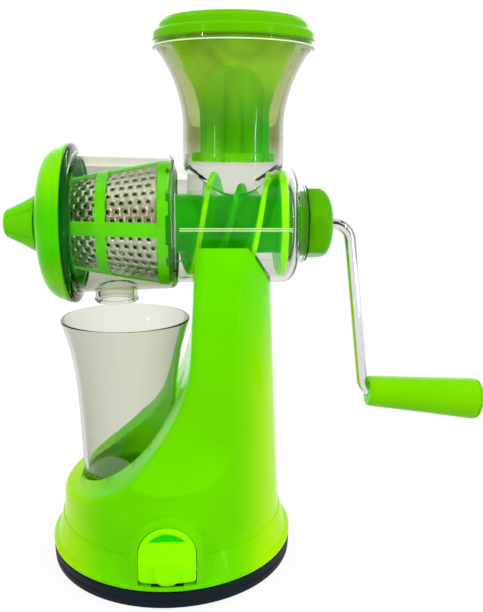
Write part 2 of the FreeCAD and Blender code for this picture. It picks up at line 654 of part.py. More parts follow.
def crank_rod():
    end = grip_point(66.5)
    pts = [(70.0, AXIS_Z), BEND_1 + (11.0,), BEND_2 + (9.0,), (end.x, end.z)]
    spans = [corner(pts[0], pts[1], pts[2], 11.0), corner(pts[1], pts[2], pts[3], 9.0)]
    edges = [Part.makeLine(vec(pts[0][0], 0, pts[0][1]), vec(spans[0][0][0], 0, spans[0][0][1]))]
    for i, (start, mid, stop) in enumerate(spans):
        arc = Part.Arc(vec(start[0], 0, start[1]), vec(mid[0], 0, mid[1]), vec(stop[0], 0, stop[1]))
        edges.append(arc.toShape())
        nxt = spans[1][0] if i == 0 else (end.x, end.z)
        edges.append(Part.makeLine(vec(stop[0], 0, stop[1]), vec(nxt[0], 0, nxt[1])))
    ring = Part.Wire(Part.Circle(vec(pts[0][0], 0, AXIS_Z), vec(1, 0, 0), ROD_R).toShape())
    rod = Part.Wire(edges).makePipeShell([ring], True, False)
    return rod.cut(rod_y(1.25 + RUN, -20, 20, 78, AXIS_Z))


def drive_hub():
    key = box(62.4, AUGER_BACK + 2, -KEY_W / 2, KEY_W / 2, AXIS_Z - KEY_W / 2, AXIS_Z + KEY_W / 2)
    hub = lathe_x([(AUGER_BACK + GAP, 0), (AUGER_BACK + GAP, HUB_R), (88.0, HUB_R, 1.0), (88.0, 0)])
    hub = key.fuse(hub).cut(rod_x(ROD_R + RUN, 69.9, 90)).cut(rod_y(1.25 + RUN, -20, 20, 78, AXIS_Z))
    return hub.removeSplitter()


def hub_pin():
    return rod_y(1.25, -HUB_R + 0.6, HUB_R - 0.6, 78, AXIS_Z)


NUT_DEG = 42.5         # how the nut's corners stand when it is tight


def lock_nut():
    body = hexagon_x(22.4, COLLAR_X1 + 0.8, 99, NUT_DEG)
    dome = lathe_x([(70, 0), (70, 21.8), (87.6, 21.8, 2.0), (90.4, 20.2), ("via", 95.2, 12.6), (97.3, 0)])
    body = body.common(dome)
    sleeve = rod_x(COLLAR_BORE_R - 0.2, BARREL_X1 + 0.6, COLLAR_X1 + 1.2)
    body = body.fuse(sleeve).cut(rod_x(HUB_R + 0.4, 70, 88.8)).cut(rod_x(ROD_R + 0.1, 80, 100))
    return body.removeSplitter()


def nut_washer():
    return ring_x(COLLAR_BORE_R + 0.1, 22.6, COLLAR_X1, COLLAR_X1 + 0.8)


def on_grip(points):
    """Turn (distance, radius) points about the grip axis."""
    face = outline(points, lambda s, r: vec(s, 0, r))
    body = face.revolve(vec(0, 0, 0), vec(1, 0, 0), 360)
    body.rotate(vec(0, 0, 0), vec(0, 1, 0), -GRIP_DEG)
    body.translate(grip_point(0.0))
    return body


def crank_grip():
    return on_grip([(0, 7.4), (0, 9.0), (2, 9.6, 1.0), (40, 11.4, 60), (66, 12.9, 8), (70, 12.9), (70, 10.4),
                    (58, 10.4), (58, ROD_R + RUN), (8, ROD_R + RUN), (8, 7.4)])


def grip_plug():
    return on_grip([(68, 0), (68, 10.1), (70.0, 10.1), (70.0, 12.8), (71.6, 12.2, 1.5), (73.0, 8.0, 6),
                    (73.4, 0)])


def grip_clip():
    return on_grip([(58.2, ROD_R), (58.2, 7.5), (59.4, 7.5), (59.4, ROD_R)])


# ---------------- pusher ----------------
STEM_R = 24.3          # straight lower part of the pusher
STEM_TOP_R = 36.0      # where it flares out under its cap
STEM_Z = 243.5
DOOR_HALF = 15.2       # arched openings round the pusher
DOOR_TOP = 294.8


def pusher_cap():
    rim = HOPPER_TOP + 0.2
    cap = lathe_z([(0, rim), (HOPPER_R + 0.2, rim, 0.6), (HOPPER_R - 0.2, 314.6, 2.2), (43.0, 315.0, 0.4),
                   (42.3, 318.4, 2), (40.2, 321.0, 2.0), (0, 321.0)], HOPPER_X)
    hollow = lathe_z([(0, rim - 1), (39.0, rim - 1), (38.2, 318.4, 1), (0, 318.4)], HOPPER_X)
    boss = rod_z(24.0, rim, 319, HOPPER_X)
    return cap.cut(hollow).fuse(boss).removeSplitter()


def stem_form(t, bottom, top):
    """Bell of the pusher, drawn in by t."""
    return lathe_z([(0, bottom), (STEM_R - t, bottom), (STEM_R - t, 272, 40), (30.1 - t, 299, 20),
                    (STEM_TOP_R - t, 308), (STEM_TOP_R - t, top), (0, top)], HOPPER_X)


def pusher_stem():
    rim = HOPPER_TOP + 0.2
    room = stem_form(2.0, STEM_Z + 3, 308.1).common(box(-10, 90, -50, 50, 200, rim - 2))
    tube = stem_form(0.0, STEM_Z, rim).cut(room)
    for k in range(4):
        door = slab_xz([(-DOOR_HALF, STEM_Z + 5), (DOOR_HALF, STEM_Z + 5), (DOOR_HALF, 281),
                        ("via", 0, DOOR_TOP), (-DOOR_HALF, 281)], -40, -12)
        door.rotate(vec(0, 0, 0), vec(0, 0, 1), 90 * k)
        door.translate(vec(HOPPER_X, 0, 0))
        tube = tube.cut(door)
    top = rim - 1.5
    wing = STEM_R - 1.3
    ribs = box(-wing, wing, -1.2, 1.2, STEM_Z + 1.5, top).fuse(box(-1.2, 1.2, -wing, wing, STEM_Z + 1.5, top))
    ribs = ribs.fuse(rod_z(9, STEM_Z + 1.5, top))
    ribs.rotate(vec(0, 0, 0), vec(0, 0, 1), 45)
    ribs.translate(vec(HOPPER_X, 0, 0))
    return one(tube.fuse(ribs).removeSplitter())


# ---------------- tumbler ----------------
TUMBLER_H = 104.2
RIM_OF_CUP = 38.75     # outer radius of the rim


def tumbler():
    z = CUP_FLOOR
    outer = [(0, z), (28.0, z, 4.5), (28.6, z + 18, 60), (29.8, z + 38, 60), (32.6, z + 61, 60),
             (36.9, z + 87, 60), (RIM_OF_CUP, z + 103), (RIM_OF_CUP, z + TUMBLER_H)]
    inner = [(36.95, z + TUMBLER_H), (36.95, z + 103), (34.9, z + 87, 60), (30.6, z + 61, 60), (27.8, z + 38, 60),
             (26.6, z + 18, 60), (26.0, z + 6, 4), (0, z + 6)]
    return lathe_z(outer + inner, CUP_X)


# ---------------- write every node ----------------
save("stand_body", stand_body())
save("base_plate", base_plate())
save("base_screws", base_screws())
save("suction_pad", suction_pad())
save("vacuum_stud", vacuum_stud())
save("lift_bar", lift_bar())
save("stud_nut", stud_nut())
save("vacuum_lever", vacuum_lever())
save("lever_pin", lever_pin())
save("feed_barrel", feed_barrel())
save("barrel_screws", barrel_screws())
save("chamber_seal", chamber_seal())
save("juice_chamber", juice_chamber())
save("strainer_mesh", strainer_mesh())
save("strainer_frame", strainer_frame())
save("front_cap", front_cap())
save("cap_gasket", cap_gasket())
save("pulp_nozzle", pulp_nozzle())
save("nozzle_ring", nozzle_ring())
save("auger", auger())
save("crank_rod", crank_rod())
save("drive_hub", drive_hub())
save("hub_pin", hub_pin())
save("lock_nut", lock_nut())
save("nut_washer", nut_washer())
save("crank_grip", crank_grip())
save("grip_plug", grip_plug())
save("grip_clip", grip_clip())
save("pusher_cap", pusher_cap())
save("pusher_stem", pusher_stem())
save("tumbler", tumbler())
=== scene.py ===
"""Hand cranked auger juicer with a vacuum foot, a clear feed barrel and a perforated strainer."""
import math

import bmesh
import bpy
import numpy as np
from mathutils import Matrix


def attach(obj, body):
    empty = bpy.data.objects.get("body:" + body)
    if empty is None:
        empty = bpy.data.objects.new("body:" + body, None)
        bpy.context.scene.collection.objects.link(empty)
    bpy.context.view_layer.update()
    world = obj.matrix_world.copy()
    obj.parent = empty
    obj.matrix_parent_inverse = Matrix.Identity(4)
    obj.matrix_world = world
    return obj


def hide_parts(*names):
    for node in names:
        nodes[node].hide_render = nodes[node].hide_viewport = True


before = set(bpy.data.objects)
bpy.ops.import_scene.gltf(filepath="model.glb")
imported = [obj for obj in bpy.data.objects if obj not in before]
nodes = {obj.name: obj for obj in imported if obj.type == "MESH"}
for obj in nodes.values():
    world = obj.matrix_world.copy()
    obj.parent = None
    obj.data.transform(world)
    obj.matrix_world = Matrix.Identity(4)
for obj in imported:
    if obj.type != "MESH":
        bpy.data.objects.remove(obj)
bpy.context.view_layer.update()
scene = bpy.context.scene
MM = 0.001

# ------------------------------------------------------------------
# Camera
# A standard lens level with the crank, looking a little down at the whole juicer.
# ------------------------------------------------------------------
camera_data = bpy.data.cameras.new("studio_camera")
camera_data.sensor_width = 36.0
camera_data.lens = 736.95 * 36.0 / 612.0
camera_data.clip_start = 0.01
camera_data.clip_end = 20.0
camera = bpy.data.objects.new("studio_camera", camera_data)
scene.collection.objects.link(camera)
camera_yaw, camera_pitch, camera_roll = 0.0616, 0.2199, 0.0073
camera.matrix_world = (
    Matrix.Translation((0.0164322, -0.4399604, 0.2549576))
    @ Matrix.Rotation(-camera_yaw, 4, "Z")
    @ Matrix.Rotation(math.pi / 2 - camera_pitch, 4, "X")
    @ Matrix.Rotation(camera_roll, 4, "Z")
)
scene.camera = camera

# ------------------------------------------------------------------
# Studio
# A white sweep of paper under the juicer, a white room behind it, and soft boxes
# at both sides and above, as for a catalogue shot.
# ------------------------------------------------------------------
def shader_node(tree, kind, values=None, **settings):
    """A shader node with its settings and its socket values."""
    made = tree.nodes.new(kind)
    for key, value in settings.items():
        setattr(made, key, value)
    for key, value in (values or {}).items():
        made.inputs[key].default_value = value
    return made


def by_ray(tree, gathering, seen, mirrored):
    """A strength for rays that gather light, another for rays that look straight or through glass, and
    mirrored, a socket or a value, for rays off a gloss."""
    rays = shader_node(tree, "ShaderNodeLightPath")
    looking = shader_node(tree, "ShaderNodeMath", operation="MAXIMUM")
    tree.links.new(rays.outputs["Is Camera Ray"], looking.inputs[0])
    tree.links.new(rays.outputs["Is Transmission Ray"], looking.inputs[1])
    straight = shader_node(tree, "ShaderNodeMix", {"A": gathering, "B": seen}, data_type="FLOAT")
    tree.links.new(looking.outputs[0], straight.inputs["Factor"])
    turned_back = shader_node(tree, "ShaderNodeMath", operation="SUBTRACT", use_clamp=True)
    tree.links.new(rays.outputs["Is Glossy Ray"], turned_back.inputs[0])
    tree.links.new(rays.outputs["Is Transmission Ray"], turned_back.inputs[1])
    gloss = shader_node(tree, "ShaderNodeMix", data_type="FLOAT")
    tree.links.new(turned_back.outputs[0], gloss.inputs["Factor"])
    tree.links.new(straight.outputs["Result"], gloss.inputs["A"])
    if isinstance(mirrored, float):
        gloss.inputs["B"].default_value = mirrored
    else:
        tree.links.new(mirrored, gloss.inputs["B"])
    return gloss.outputs["Result"]


world = bpy.data.worlds.new("white_room")
scene.world = world
world.use_nodes = True
wt = world.node_tree
background = wt.nodes["Background"]
background.inputs["Color"].default_value = (1, 1, 1, 1)
toward = shader_node(wt, "ShaderNodeTexCoord")
parts = shader_node(wt, "ShaderNodeSeparateXYZ")
wt.links.new(toward.outputs["Generated"], parts.inputs["Vector"])
depth_span = {"From Min": 0.05, "From Max": 0.8, "To Min": 0.06, "To Max": 1.0}
depth = shader_node(wt, "ShaderNodeMapRange", depth_span)
wt.links.new(parts.outputs["Y"], depth.inputs["Value"])
wt.links.new(by_ray(wt, 0.46, 1.0, depth.outputs["Result"]), background.inputs["Strength"])


def sheet_floor(name, half, z):
    """A flat square of side 2 * half at height z."""
    mesh = bpy.data.meshes.new(name)
    corners = [(-half, -half, z), (half, -half, z), (half, half, z), (-half, half, z)]
    mesh.from_pydata(corners, [], [(0, 1, 2, 3)])
    floor = bpy.data.objects.new(name, mesh)
    scene.collection.objects.link(floor)
    return floor


floor = sheet_floor("paper_floor", 3.0, -0.0002)
paper = bpy.data.materials.new("white_paper")
paper.use_nodes = True
pt = paper.node_tree
paper_base = pt.nodes["Principled BSDF"]
paper_base.inputs["Base Color"].default_value = (0.86, 0.86, 0.86, 1)
paper_base.inputs["Roughness"].default_value = 0.7
paper_base.inputs["Specular IOR Level"].default_value = 0.2
glow = shader_node(pt, "ShaderNodeEmission", {"Color": (1, 1, 1, 1)})
pt.links.new(by_ray(pt, 0.46, 1.02, 1.0), glow.inputs["Strength"])
paper_place = shader_node(pt, "ShaderNodeTexCoord")
reach = shader_node(pt, "ShaderNodeVectorMath", operation="LENGTH")
pt.links.new(paper_place.outputs["Object"], reach.inputs[0])
fade = shader_node(pt, "ShaderNodeMapRange", {"From Min": 0.05, "From Max": 0.2, "To Min": 0.86})
pt.links.new(reach.outputs["Value"], fade.inputs["Value"])
mixed = shader_node(pt, "ShaderNodeMixShader")
pt.links.new(fade.outputs["Result"], mixed.inputs["Fac"])
pt.links.new(paper_base.outputs["BSDF"], mixed.inputs[1])
pt.links.new(glow.outputs["Emission"], mixed.inputs[2])
pt.links.new(mixed.outputs["Shader"], pt.nodes["Material Output"].inputs["Surface"])
floor.data.materials.append(paper)


def soft_box(name, place, aim, size, power, spread=math.pi):
    """A rectangular studio lamp at place, turned to face aim."""
    lamp = bpy.data.lights.new(name, "AREA")
    lamp.shape = "RECTANGLE"
    lamp.size, lamp.size_y = size
    lamp.energy = power
    lamp.spread = spread
    ob = bpy.data.objects.new(name, lamp)
    scene.collection.objects.link(ob)
    ob.location = place
    direction = Matrix.Translation(aim).to_translation() - ob.location
    ob.rotation_euler = direction.to_track_quat("-Z", "Y").to_euler()
    return ob


soft_box("left_box", (-0.95, -0.6, 0.55), (0, 0, 0.15), (1.3, 1.4), 3.5)
soft_box("right_box", (1.0, -0.45, 0.5), (0, 0, 0.15), (1.2, 1.3), 3.3)
soft_box("top_box", (0.0, -0.1, 1.2), (0, 0, 0.1), (1.4, 1.1), 4.0)
soft_box("back_box", (0.1, 0.9, 0.6), (0, 0, 0.2), (1.2, 0.7), 2.4)
soft_box("right_strip", (0.78, -0.67, 0.34), (0.03, 0, 0.2), (0.012, 0.8), 3.2)
soft_box("left_strip", (-0.7, -0.75, 0.5), (-0.05, 0, 0.2), (0.012, 0.6), 2.2)

# ------------------------------------------------------------------
# Stand
# The hollow pedestal is one injection moulding in glossy lime plastic, with
# rounded creases down both flanks and a scooped opening over the tumbler.
# ------------------------------------------------------------------
AXIS = 207.0


def tone(red, green, blue):
    """Display colour from 0 to 255 to linear: c / 12.92 below 0.04045, otherwise
    ((c + 0.055) / 1.055) ** 2.4."""
    c = np.array([red, green, blue]) / 255.0
    return (*np.where(c < 0.04045, c / 12.92, ((c + 0.055) / 1.055) ** 2.4), 1.0)


def new_group(name, inputs, outputs):
    """An empty shader node group with its sockets, and its input and output nodes."""
    group = bpy.data.node_groups.new(name, "ShaderNodeTree")
    for label, kind, value in inputs:
        socket = group.interface.new_socket(label, in_out="INPUT", socket_type=kind)
        socket.default_value = value
    for label, kind in outputs:
        group.interface.new_socket(label, in_out="OUTPUT", socket_type=kind)
    return group, group.nodes.new("NodeGroupInput"), group.nodes.new("NodeGroupOutput")


def moulding_group():
    """Injection-moulded plastic: cloudy pigment flow, fine orange peel, and rubbed patches with hairline
    scuffs."""
    floats = "NodeSocketFloat"
    tree, taken, given = new_group(
        "moulded_plastic",
        [("Colour", "NodeSocketColor", (0.2, 0.7, 0, 1)), ("Flow", floats, 0.1), ("Gloss", floats, 0.15),
         ("Rub", floats, 0.1), ("Peel", floats, 0.1)],
        [("Colour", "NodeSocketColor"), ("Roughness", floats), ("Normal", "NodeSocketVector")],
    )
    link = tree.links.new
    place = shader_node(tree, "ShaderNodeTexCoord")
    cloud = shader_node(tree, "ShaderNodeTexNoise", {"Scale": 14.0, "Detail": 3.0, "Distortion": 1.2})
    link(place.outputs["Object"], cloud.inputs["Vector"])
    span = {"From Min": 0.3, "From Max": 0.7, "To Min": -1.0, "To Max": 1.0}
    spread = shader_node(tree, "ShaderNodeMapRange", span)
    link(cloud.outputs["Fac"], spread.inputs["Value"])
    amount = shader_node(tree, "ShaderNodeMath", operation="MULTIPLY")
    link(spread.outputs["Result"], amount.inputs[0])
    link(taken.outputs["Flow"], amount.inputs[1])
    lift = shader_node(tree, "ShaderNodeMath", {1: 1.0}, operation="ADD")
    link(amount.outputs[0], lift.inputs[0])
    tinted = shader_node(tree, "ShaderNodeHueSaturation")
    link(taken.outputs["Colour"], tinted.inputs["Color"])
    link(lift.outputs[0], tinted.inputs["Value"])
    link(tinted.outputs["Color"], given.inputs["Colour"])
    rubbed = shader_node(tree, "ShaderNodeTexNoise", {"Scale": 55.0, "Detail": 4.0, "Roughness": 0.65})
    link(place.outputs["Object"], rubbed.inputs["Vector"])
    hair = shader_node(tree, "ShaderNodeTexNoise", {"Scale": 420.0, "Detail": 2.0, "Distortion": 3.0})
    link(place.outputs["Object"], hair.inputs["Vector"])
    both = shader_node(tree, "ShaderNodeMath", operation="MULTIPLY")
    link(rubbed.outputs["Fac"], both.inputs[0])
    link(hair.outputs["Fac"], both.inputs[1])
    worn = shader_node(tree, "ShaderNodeMath", operation="MULTIPLY_ADD")
    link(both.outputs[0], worn.inputs[0])
    link(taken.outputs["Rub"], worn.inputs[1])
    link(taken.outputs["Gloss"], worn.inputs[2])
    link(worn.outputs[0], given.inputs["Roughness"])
    peel = shader_node(tree, "ShaderNodeTexNoise", {"Scale": 260.0, "Detail": 1.0})
    link(place.outputs["Object"], peel.inputs["Vector"])
    bump = shader_node(tree, "ShaderNodeBump", {"Distance": 0.0002})
    link(peel.outputs["Fac"], bump.inputs["Height"])
    link(taken.outputs["Peel"], bump.inputs["Strength"])
    link(bump.outputs["Normal"], given.inputs["Normal"])
    return tree


moulded_plastic = moulding_group()


def plastic(name, colour, flow=0.05, gloss=0.12, rub=0.1, peel=0.08, glow=0.0, painted_glow=0.0, shine=0.08):
    """A material of moulded plastic in one colour; glow is the share of light that soaks in and spreads, the
    argument after it the strength of a painted glow, an emission in the plastic's own colour that stands in
    for light, and shine the strength of its gloss, which the pigment tints."""
    made = bpy.data.materials.new(name)
    made.use_nodes = True
    tree = made.node_tree
    shader = tree.nodes["Principled BSDF"]
    shader.inputs["IOR"].default_value = 1.5
    shader.inputs["Specular IOR Level"].default_value = shine
    shader.inputs["Specular Tint"].default_value = (*(0.2 + 0.8 * np.array(colour[:3]) / max(colour[:3])), 1)
    # Emission in the plastic's own colour is a painted glow, standing in for light.
    shader.inputs["Emission Strength"].default_value = painted_glow
    shader.inputs["Subsurface Weight"].default_value = glow
    shader.inputs["Subsurface Radius"].default_value = (1.0, 1.0, 0.3)
    shader.inputs["Subsurface Scale"].default_value = 0.003
    finish = shader_node(tree, "ShaderNodeGroup", node_tree=moulded_plastic)
    for label, value in (("Colour", colour), ("Flow", flow), ("Gloss", gloss), ("Rub", rub), ("Peel", peel)):
        finish.inputs[label].default_value = value
    tree.links.new(finish.outputs["Colour"], shader.inputs["Base Color"])
    tree.links.new(finish.outputs["Colour"], shader.inputs["Emission Color"])
    tree.links.new(finish.outputs["Roughness"], shader.inputs["Roughness"])
    tree.links.new(finish.outputs["Normal"], shader.inputs["Normal"])
    return made


def shift_colour(material, second, along, start, stop):
    """Blends the material's colour into a second one between two places, in millimetres: along an axis, or
    by the distance from the barrel's axis where along is "Radius"."""
    tree = material.node_tree
    link = tree.links.new
    finish = next(n for n in tree.nodes if n.type == "GROUP")
    place = shader_node(tree, "ShaderNodeTexCoord")
    measure = shader_node(tree, "ShaderNodeMapRange", {"From Min": start * MM, "From Max": stop * MM},
                          interpolation_type="SMOOTHSTEP")
    if along == "Radius":
        flat = shader_node(tree, "ShaderNodeVectorMath", {1: (0, 1, 1)}, operation="MULTIPLY")
        away = shader_node(tree, "ShaderNodeVectorMath", {1: (0, 0, AXIS * MM)}, operation="DISTANCE")
        link(place.outputs["Object"], flat.inputs[0])
        link(flat.outputs["Vector"], away.inputs[0])
        link(away.outputs["Value"], measure.inputs["Value"])
    else:
        split = shader_node(tree, "ShaderNodeSeparateXYZ")
        link(place.outputs["Object"], split.inputs["Vector"])
        link(split.outputs[along], measure.inputs["Value"])
    blend = shader_node(tree, "ShaderNodeMix", {"A": finish.inputs["Colour"].default_value, "B": second},
                        data_type="RGBA")
    if finish.inputs["Colour"].is_linked:
        link(finish.inputs["Colour"].links[0].from_socket, blend.inputs["A"])
    link(measure.outputs["Result"], blend.inputs["Factor"])
    link(blend.outputs["Result"], finish.inputs["Colour"])


def fit(name, mesh, material, slot, body, *stands_for):
    """Puts a finished mesh into the scene, on its body and in place of its solids."""
    made = bpy.data.objects.new(name, mesh)
    scene.collection.objects.link(made)
    mesh.materials.clear()
    mesh.materials.append(material)
    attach(made, body)
    if stands_for:
        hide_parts(*stands_for)
    even = made.modifiers.new("even_shading", "WEIGHTED_NORMAL")
    even.keep_sharp = True
    return made


def settle(mesh, crease=32.0):
    """Welds doubles, turns the faces outwards and keeps edges sharper than crease degrees crisp."""
    work = bmesh.new()
    work.from_mesh(mesh)
    bmesh.ops.remove_doubles(work, verts=work.verts, dist=2e-6)
    bmesh.ops.dissolve_degenerate(work, edges=work.edges, dist=1e-6)
    bmesh.ops.recalc_face_normals(work, faces=work.faces)
    work.to_mesh(mesh)
    work.free()
    mesh.shade_smooth()
    mesh.set_sharp_from_angle(angle=math.radians(crease))
    return mesh


def from_solid(label, crease=32.0):
    """A welded, smooth copy of the solid of that name."""
    return settle(nodes[label].data.copy(), crease)


SKIRT_HEIGHT, SKIRT_RISE, SKIRT_INNER, SKIRT_OUTER = 28.6, 0.6, 66.0, 71.0
# Painted light on the stand: both flanks turn lighter and yellower from 34 mm outwards as painted highlights,
# the body turns greener from 110 mm up as painted light, and a faint painted glow is added.
stand_lime = plastic("stand_lime", tone(108, 220, 0), glow=0.1, painted_glow=0.06, shine=0.05)
for edge in (-1, 1):
    shift_colour(stand_lime, tone(176, 238, 0), "X", edge * 34, edge * 66)
shift_colour(stand_lime, tone(104, 226, 0), "Z", 110, 185)


def skirt_line(mesh, height, rise, inner, outer):
    """Cuts the mesh at height and at twice rise above and below it, all in millimetres, then moves the middle
    ring's points out by rise where their radius is between inner and outer: p + rise * p / |p|."""
    work = bmesh.new()
    work.from_mesh(mesh)
    for level in (height - 2 * rise, height, height + 2 * rise):
        everything = work.verts[:] + work.edges[:] + work.faces[:]
        bmesh.ops.bisect_plane(work, geom=everything, plane_co=(0, 0, level * MM), plane_no=(0, 0, 1))
    work.to_mesh(mesh)
    work.free()
    spots = np.empty(len(mesh.vertices) * 3)
    mesh.vertices.foreach_get("co", spots)
    spots = spots.reshape(-1, 3)
    away = np.hypot(spots[:, 0], spots[:, 1]) / MM
    moved = (abs(spots[:, 2] / MM - height) < 0.001) & (away > inner) & (away < outer)
    spots[moved, :2] *= 1 + rise / away[moved, None]
    mesh.vertices.foreach_set("co", spots.ravel())
    mesh.set_sharp_from_angle(angle=math.radians(32))
    return mesh


pedestal_mesh = skirt_line(from_solid("stand_body"), SKIRT_HEIGHT, SKIRT_RISE, SKIRT_INNER, SKIRT_OUTER)
fit("pedestal", pedestal_mesh, stand_lime, "stand_green", "stand", "stand_body")

# ------------------------------------------------------------------
# Vacuum foot
# A black plate under the stand carries the suction pad, a soft dark rubber
# moulding with a rounded sole edge and a fine groove where the plate clips in.
# ------------------------------------------------------------------


def unit(v):
    """v over its length, row by row."""
    return v / np.maximum(np.linalg.norm(v, axis=-1, keepdims=True), 1e-12)


def rounded(points, steps=7):
    """Outline through (a, r, radius) corners: each is cut back by radius / tan(half its angle) along both
    sides and joined by the arc about the point radius / sin(half angle) up its bisector."""
    p = np.array([(*q, 0.0)[:3] for q in points], float)
    xy, radius = p[:, :2], p[:, 2:]
    back = unit(np.roll(xy, 1, 0) - xy)
    ahead = unit(np.roll(xy, -1, 0) - xy)
    half = np.arccos(np.clip((back * ahead).sum(1, keepdims=True), -1, 1)) / 2
    middle = xy + unit(back + ahead) * radius / np.sin(half)
    cut = radius / np.tan(half)
    start, stop = xy + back * cut - middle, xy + ahead * cut - middle
    sweep = (math.pi - 2 * half)[:, None, :]
    t = np.linspace(0, 1, steps)[None, :, None]
    arcs = start[:, None] * np.sin((1 - t) * sweep) + stop[:, None] * np.sin(t * sweep)
    return (middle[:, None] + arcs / np.maximum(np.sin(sweep), 1e-9)).reshape(-1, 2)


def quads(rows, columns, ring_rows, ring_columns):
    """Faces of a rows x columns grid of points, closed into a ring along either side where asked."""
    i = np.arange(rows if ring_rows else rows - 1)[:, None]
    j = np.arange(columns if ring_columns else columns - 1)[None, :]
    up, right = (i + 1) % rows, (j + 1) % columns
    lower, upper = i * columns, up * columns
    corners = np.stack(np.broadcast_arrays(lower + j, lower + right, upper + right, upper + j))
    return corners.reshape(4, -1).T


def build(name, parts, crease=32.0):
    """One settled mesh from (points in mm, faces) parts."""
    shift = np.cumsum([0] + [len(p) for p, _ in parts])
    points = np.concatenate([p for p, _ in parts]) * MM
    faces = np.concatenate([f + s for (_, f), s in zip(parts, shift)])
    mesh = bpy.data.meshes.new(name)
    mesh.from_pydata(points, [], faces)
    return settle(mesh, crease)


def turned(outline, origin, along=(1, 0, 0), turns=144, closed=True):
    """Surface of revolution: outline point (a, r) goes to
    origin + a * along + r * (cos t * side + sin t * rise)."""
    along = np.array(along, float)
    side = np.array([1.0, 0, 0]) if abs(along[2]) > 0.9 else np.array([0, -1.0, 0])
    rise = np.cross(along, side)
    t = np.linspace(0, 2 * math.pi, turns, endpoint=False)[None, :, None]
    a, r = outline[:, None, :1], outline[:, None, 1:]
    points = np.array(origin, float) + a * along + r * (np.cos(t) * side + np.sin(t) * rise)
    return points.reshape(-1, 3), quads(len(outline), turns, closed, True)


def bow(start, via, stop, steps=14):
    """Points of the arc through three points: its middle m solves 2 (p - start) . m = |p|^2 - |start|^2 for
    the other two points p."""
    a, b, c = np.array(start, float), np.array(via, float), np.array(stop, float)
    m = np.linalg.solve(2 * np.array([b - a, c - a]), [b @ b - a @ a, c @ c - a @ a])
    turn = np.unwrap([math.atan2(*(q - m)[::-1]) for q in (a, b, c)])
    t = np.linspace(turn[0], turn[2], steps)
    return m + np.linalg.norm(a - m) * np.stack([np.cos(t), np.sin(t)], 1)


def capped(grid):
    """Tube through the rings of a grid, each end closed by drawing one more ring together at its middle."""
    ends = grid[[0, -1]].mean(1, keepdims=True) + np.zeros((2, grid.shape[1], 3))
    grid = np.concatenate([ends[:1], grid, ends[1:]])
    return grid.reshape(-1, 3), quads(grid.shape[0], grid.shape[1], False, True)


def slab(x0, x1, y0, y1, z0, z1):
    """A closed block between two corners."""
    ring = np.array([(y0, z0), (y1, z0), (y1, z1), (y0, z1)], float)
    return capped(np.stack([np.insert(ring, 0, x, axis=1) for x in (x0, x1)]))


def combined(name, joined, removed, crease=30.0):
    """The closed surfaces in joined made into one, less the closed surfaces in removed."""
    helpers = [bpy.data.objects.new(name, build(name, [part])) for part in joined + removed]
    for helper in helpers:
        scene.collection.objects.link(helper)
    for i, helper in enumerate(helpers[1:], 1):
        step = helpers[0].modifiers.new("step", "BOOLEAN")
        step.operation = "UNION" if i < len(joined) else "DIFFERENCE"
        step.object = helper
        step.solver = "EXACT"
    bpy.context.view_layer.update()
    mesh = bpy.data.meshes.new_from_object(helpers[0].evaluated_get(bpy.context.evaluated_depsgraph_get()))
    for helper in helpers:
        bpy.data.objects.remove(helper)
    return settle(mesh, crease)


def rubber(name, colour):
    """Matt rubber: a fine sparkle of grain in the bump and dusty, slightly paler patches."""
    made = plastic(name, colour, flow=0.18, gloss=0.42, rub=0.35, peel=0.35)
    made.node_tree.nodes["Principled BSDF"].inputs["Specular IOR Level"].default_value = 0.12
    return made


pad_outline = rounded([
    (0.0, 0), (0.0, 16, 0.8), (1.4, 19, 1), (1.4, 60, 3), (0.0, 64, 2), (0.0, 73.0, 1.2), (1.0, 74.6, 1.0),
    (5.0, 74.9, 2), (5.6, 74.2, 0.4), (6.2, 74.9, 0.4), (10.3, 74.8, 0.8), (11.4, 73.6, 0.6), (11.4, 68),
    (6.5, 64.5), (6.5, 14), (9.5, 13), (9.5, 0),
])
pad_dark = rubber("pad_rubber", tone(18, 26, 32))
fit("suction_sole", build("suction_sole", [turned(pad_outline, (0, 0, 0), (0, 0, 1), 192)]), pad_dark,
    "pad_rubber", "stand", "suction_pad")
plate_black = plastic("plate_black", tone(28, 28, 30), gloss=0.35, rub=0.3, peel=0.3)


def metal(name, colour, rough, brushed=(1, 1, 1), depth=0.06):
    """Bare metal: roughness and bump from noise drawn out along the polishing direction, with faint cloudy
    tarnish."""
    made = bpy.data.materials.new(name)
    made.use_nodes = True
    tree = made.node_tree
    link = tree.links.new
    shader = tree.nodes["Principled BSDF"]
    shader.inputs["Metallic"].default_value = 1.0
    place = shader_node(tree, "ShaderNodeTexCoord")
    turn = shader_node(tree, "ShaderNodeMapping", {"Scale": brushed})
    link(place.outputs["Object"], turn.inputs["Vector"])
    lines = shader_node(tree, "ShaderNodeTexNoise", {"Scale": 900.0, "Detail": 3.0})
    link(turn.outputs["Vector"], lines.inputs["Vector"])
    cloud = shader_node(tree, "ShaderNodeTexNoise", {"Scale": 45.0, "Detail": 2.0})
    link(place.outputs["Object"], cloud.inputs["Vector"])
    dull = (*(0.82 * np.array(colour[:3])), 1)
    tint = shader_node(tree, "ShaderNodeMix", {"A": colour, "B": dull}, data_type="RGBA")
    link(cloud.outputs["Fac"], tint.inputs["Factor"])
    link(tint.outputs["Result"], shader.inputs["Base Color"])
    haze = shader_node(tree, "ShaderNodeMapRange", {"To Min": rough * 0.7, "To Max": rough * 1.4})
    link(lines.outputs["Fac"], haze.inputs["Value"])
    link(haze.outputs["Result"], shader.inputs["Roughness"])
    bump = shader_node(tree, "ShaderNodeBump", {"Strength": depth, "Distance": 0.0001})
    link(lines.outputs["Fac"], bump.inputs["Height"])
    link(bump.outputs["Normal"], shader.inputs["Normal"])
    return made


zinc = metal("zinc_screw", (0.62, 0.62, 0.64, 1), 0.3)
bright_steel = metal("bright_steel", (0.72, 0.72, 0.73, 1), 0.2)


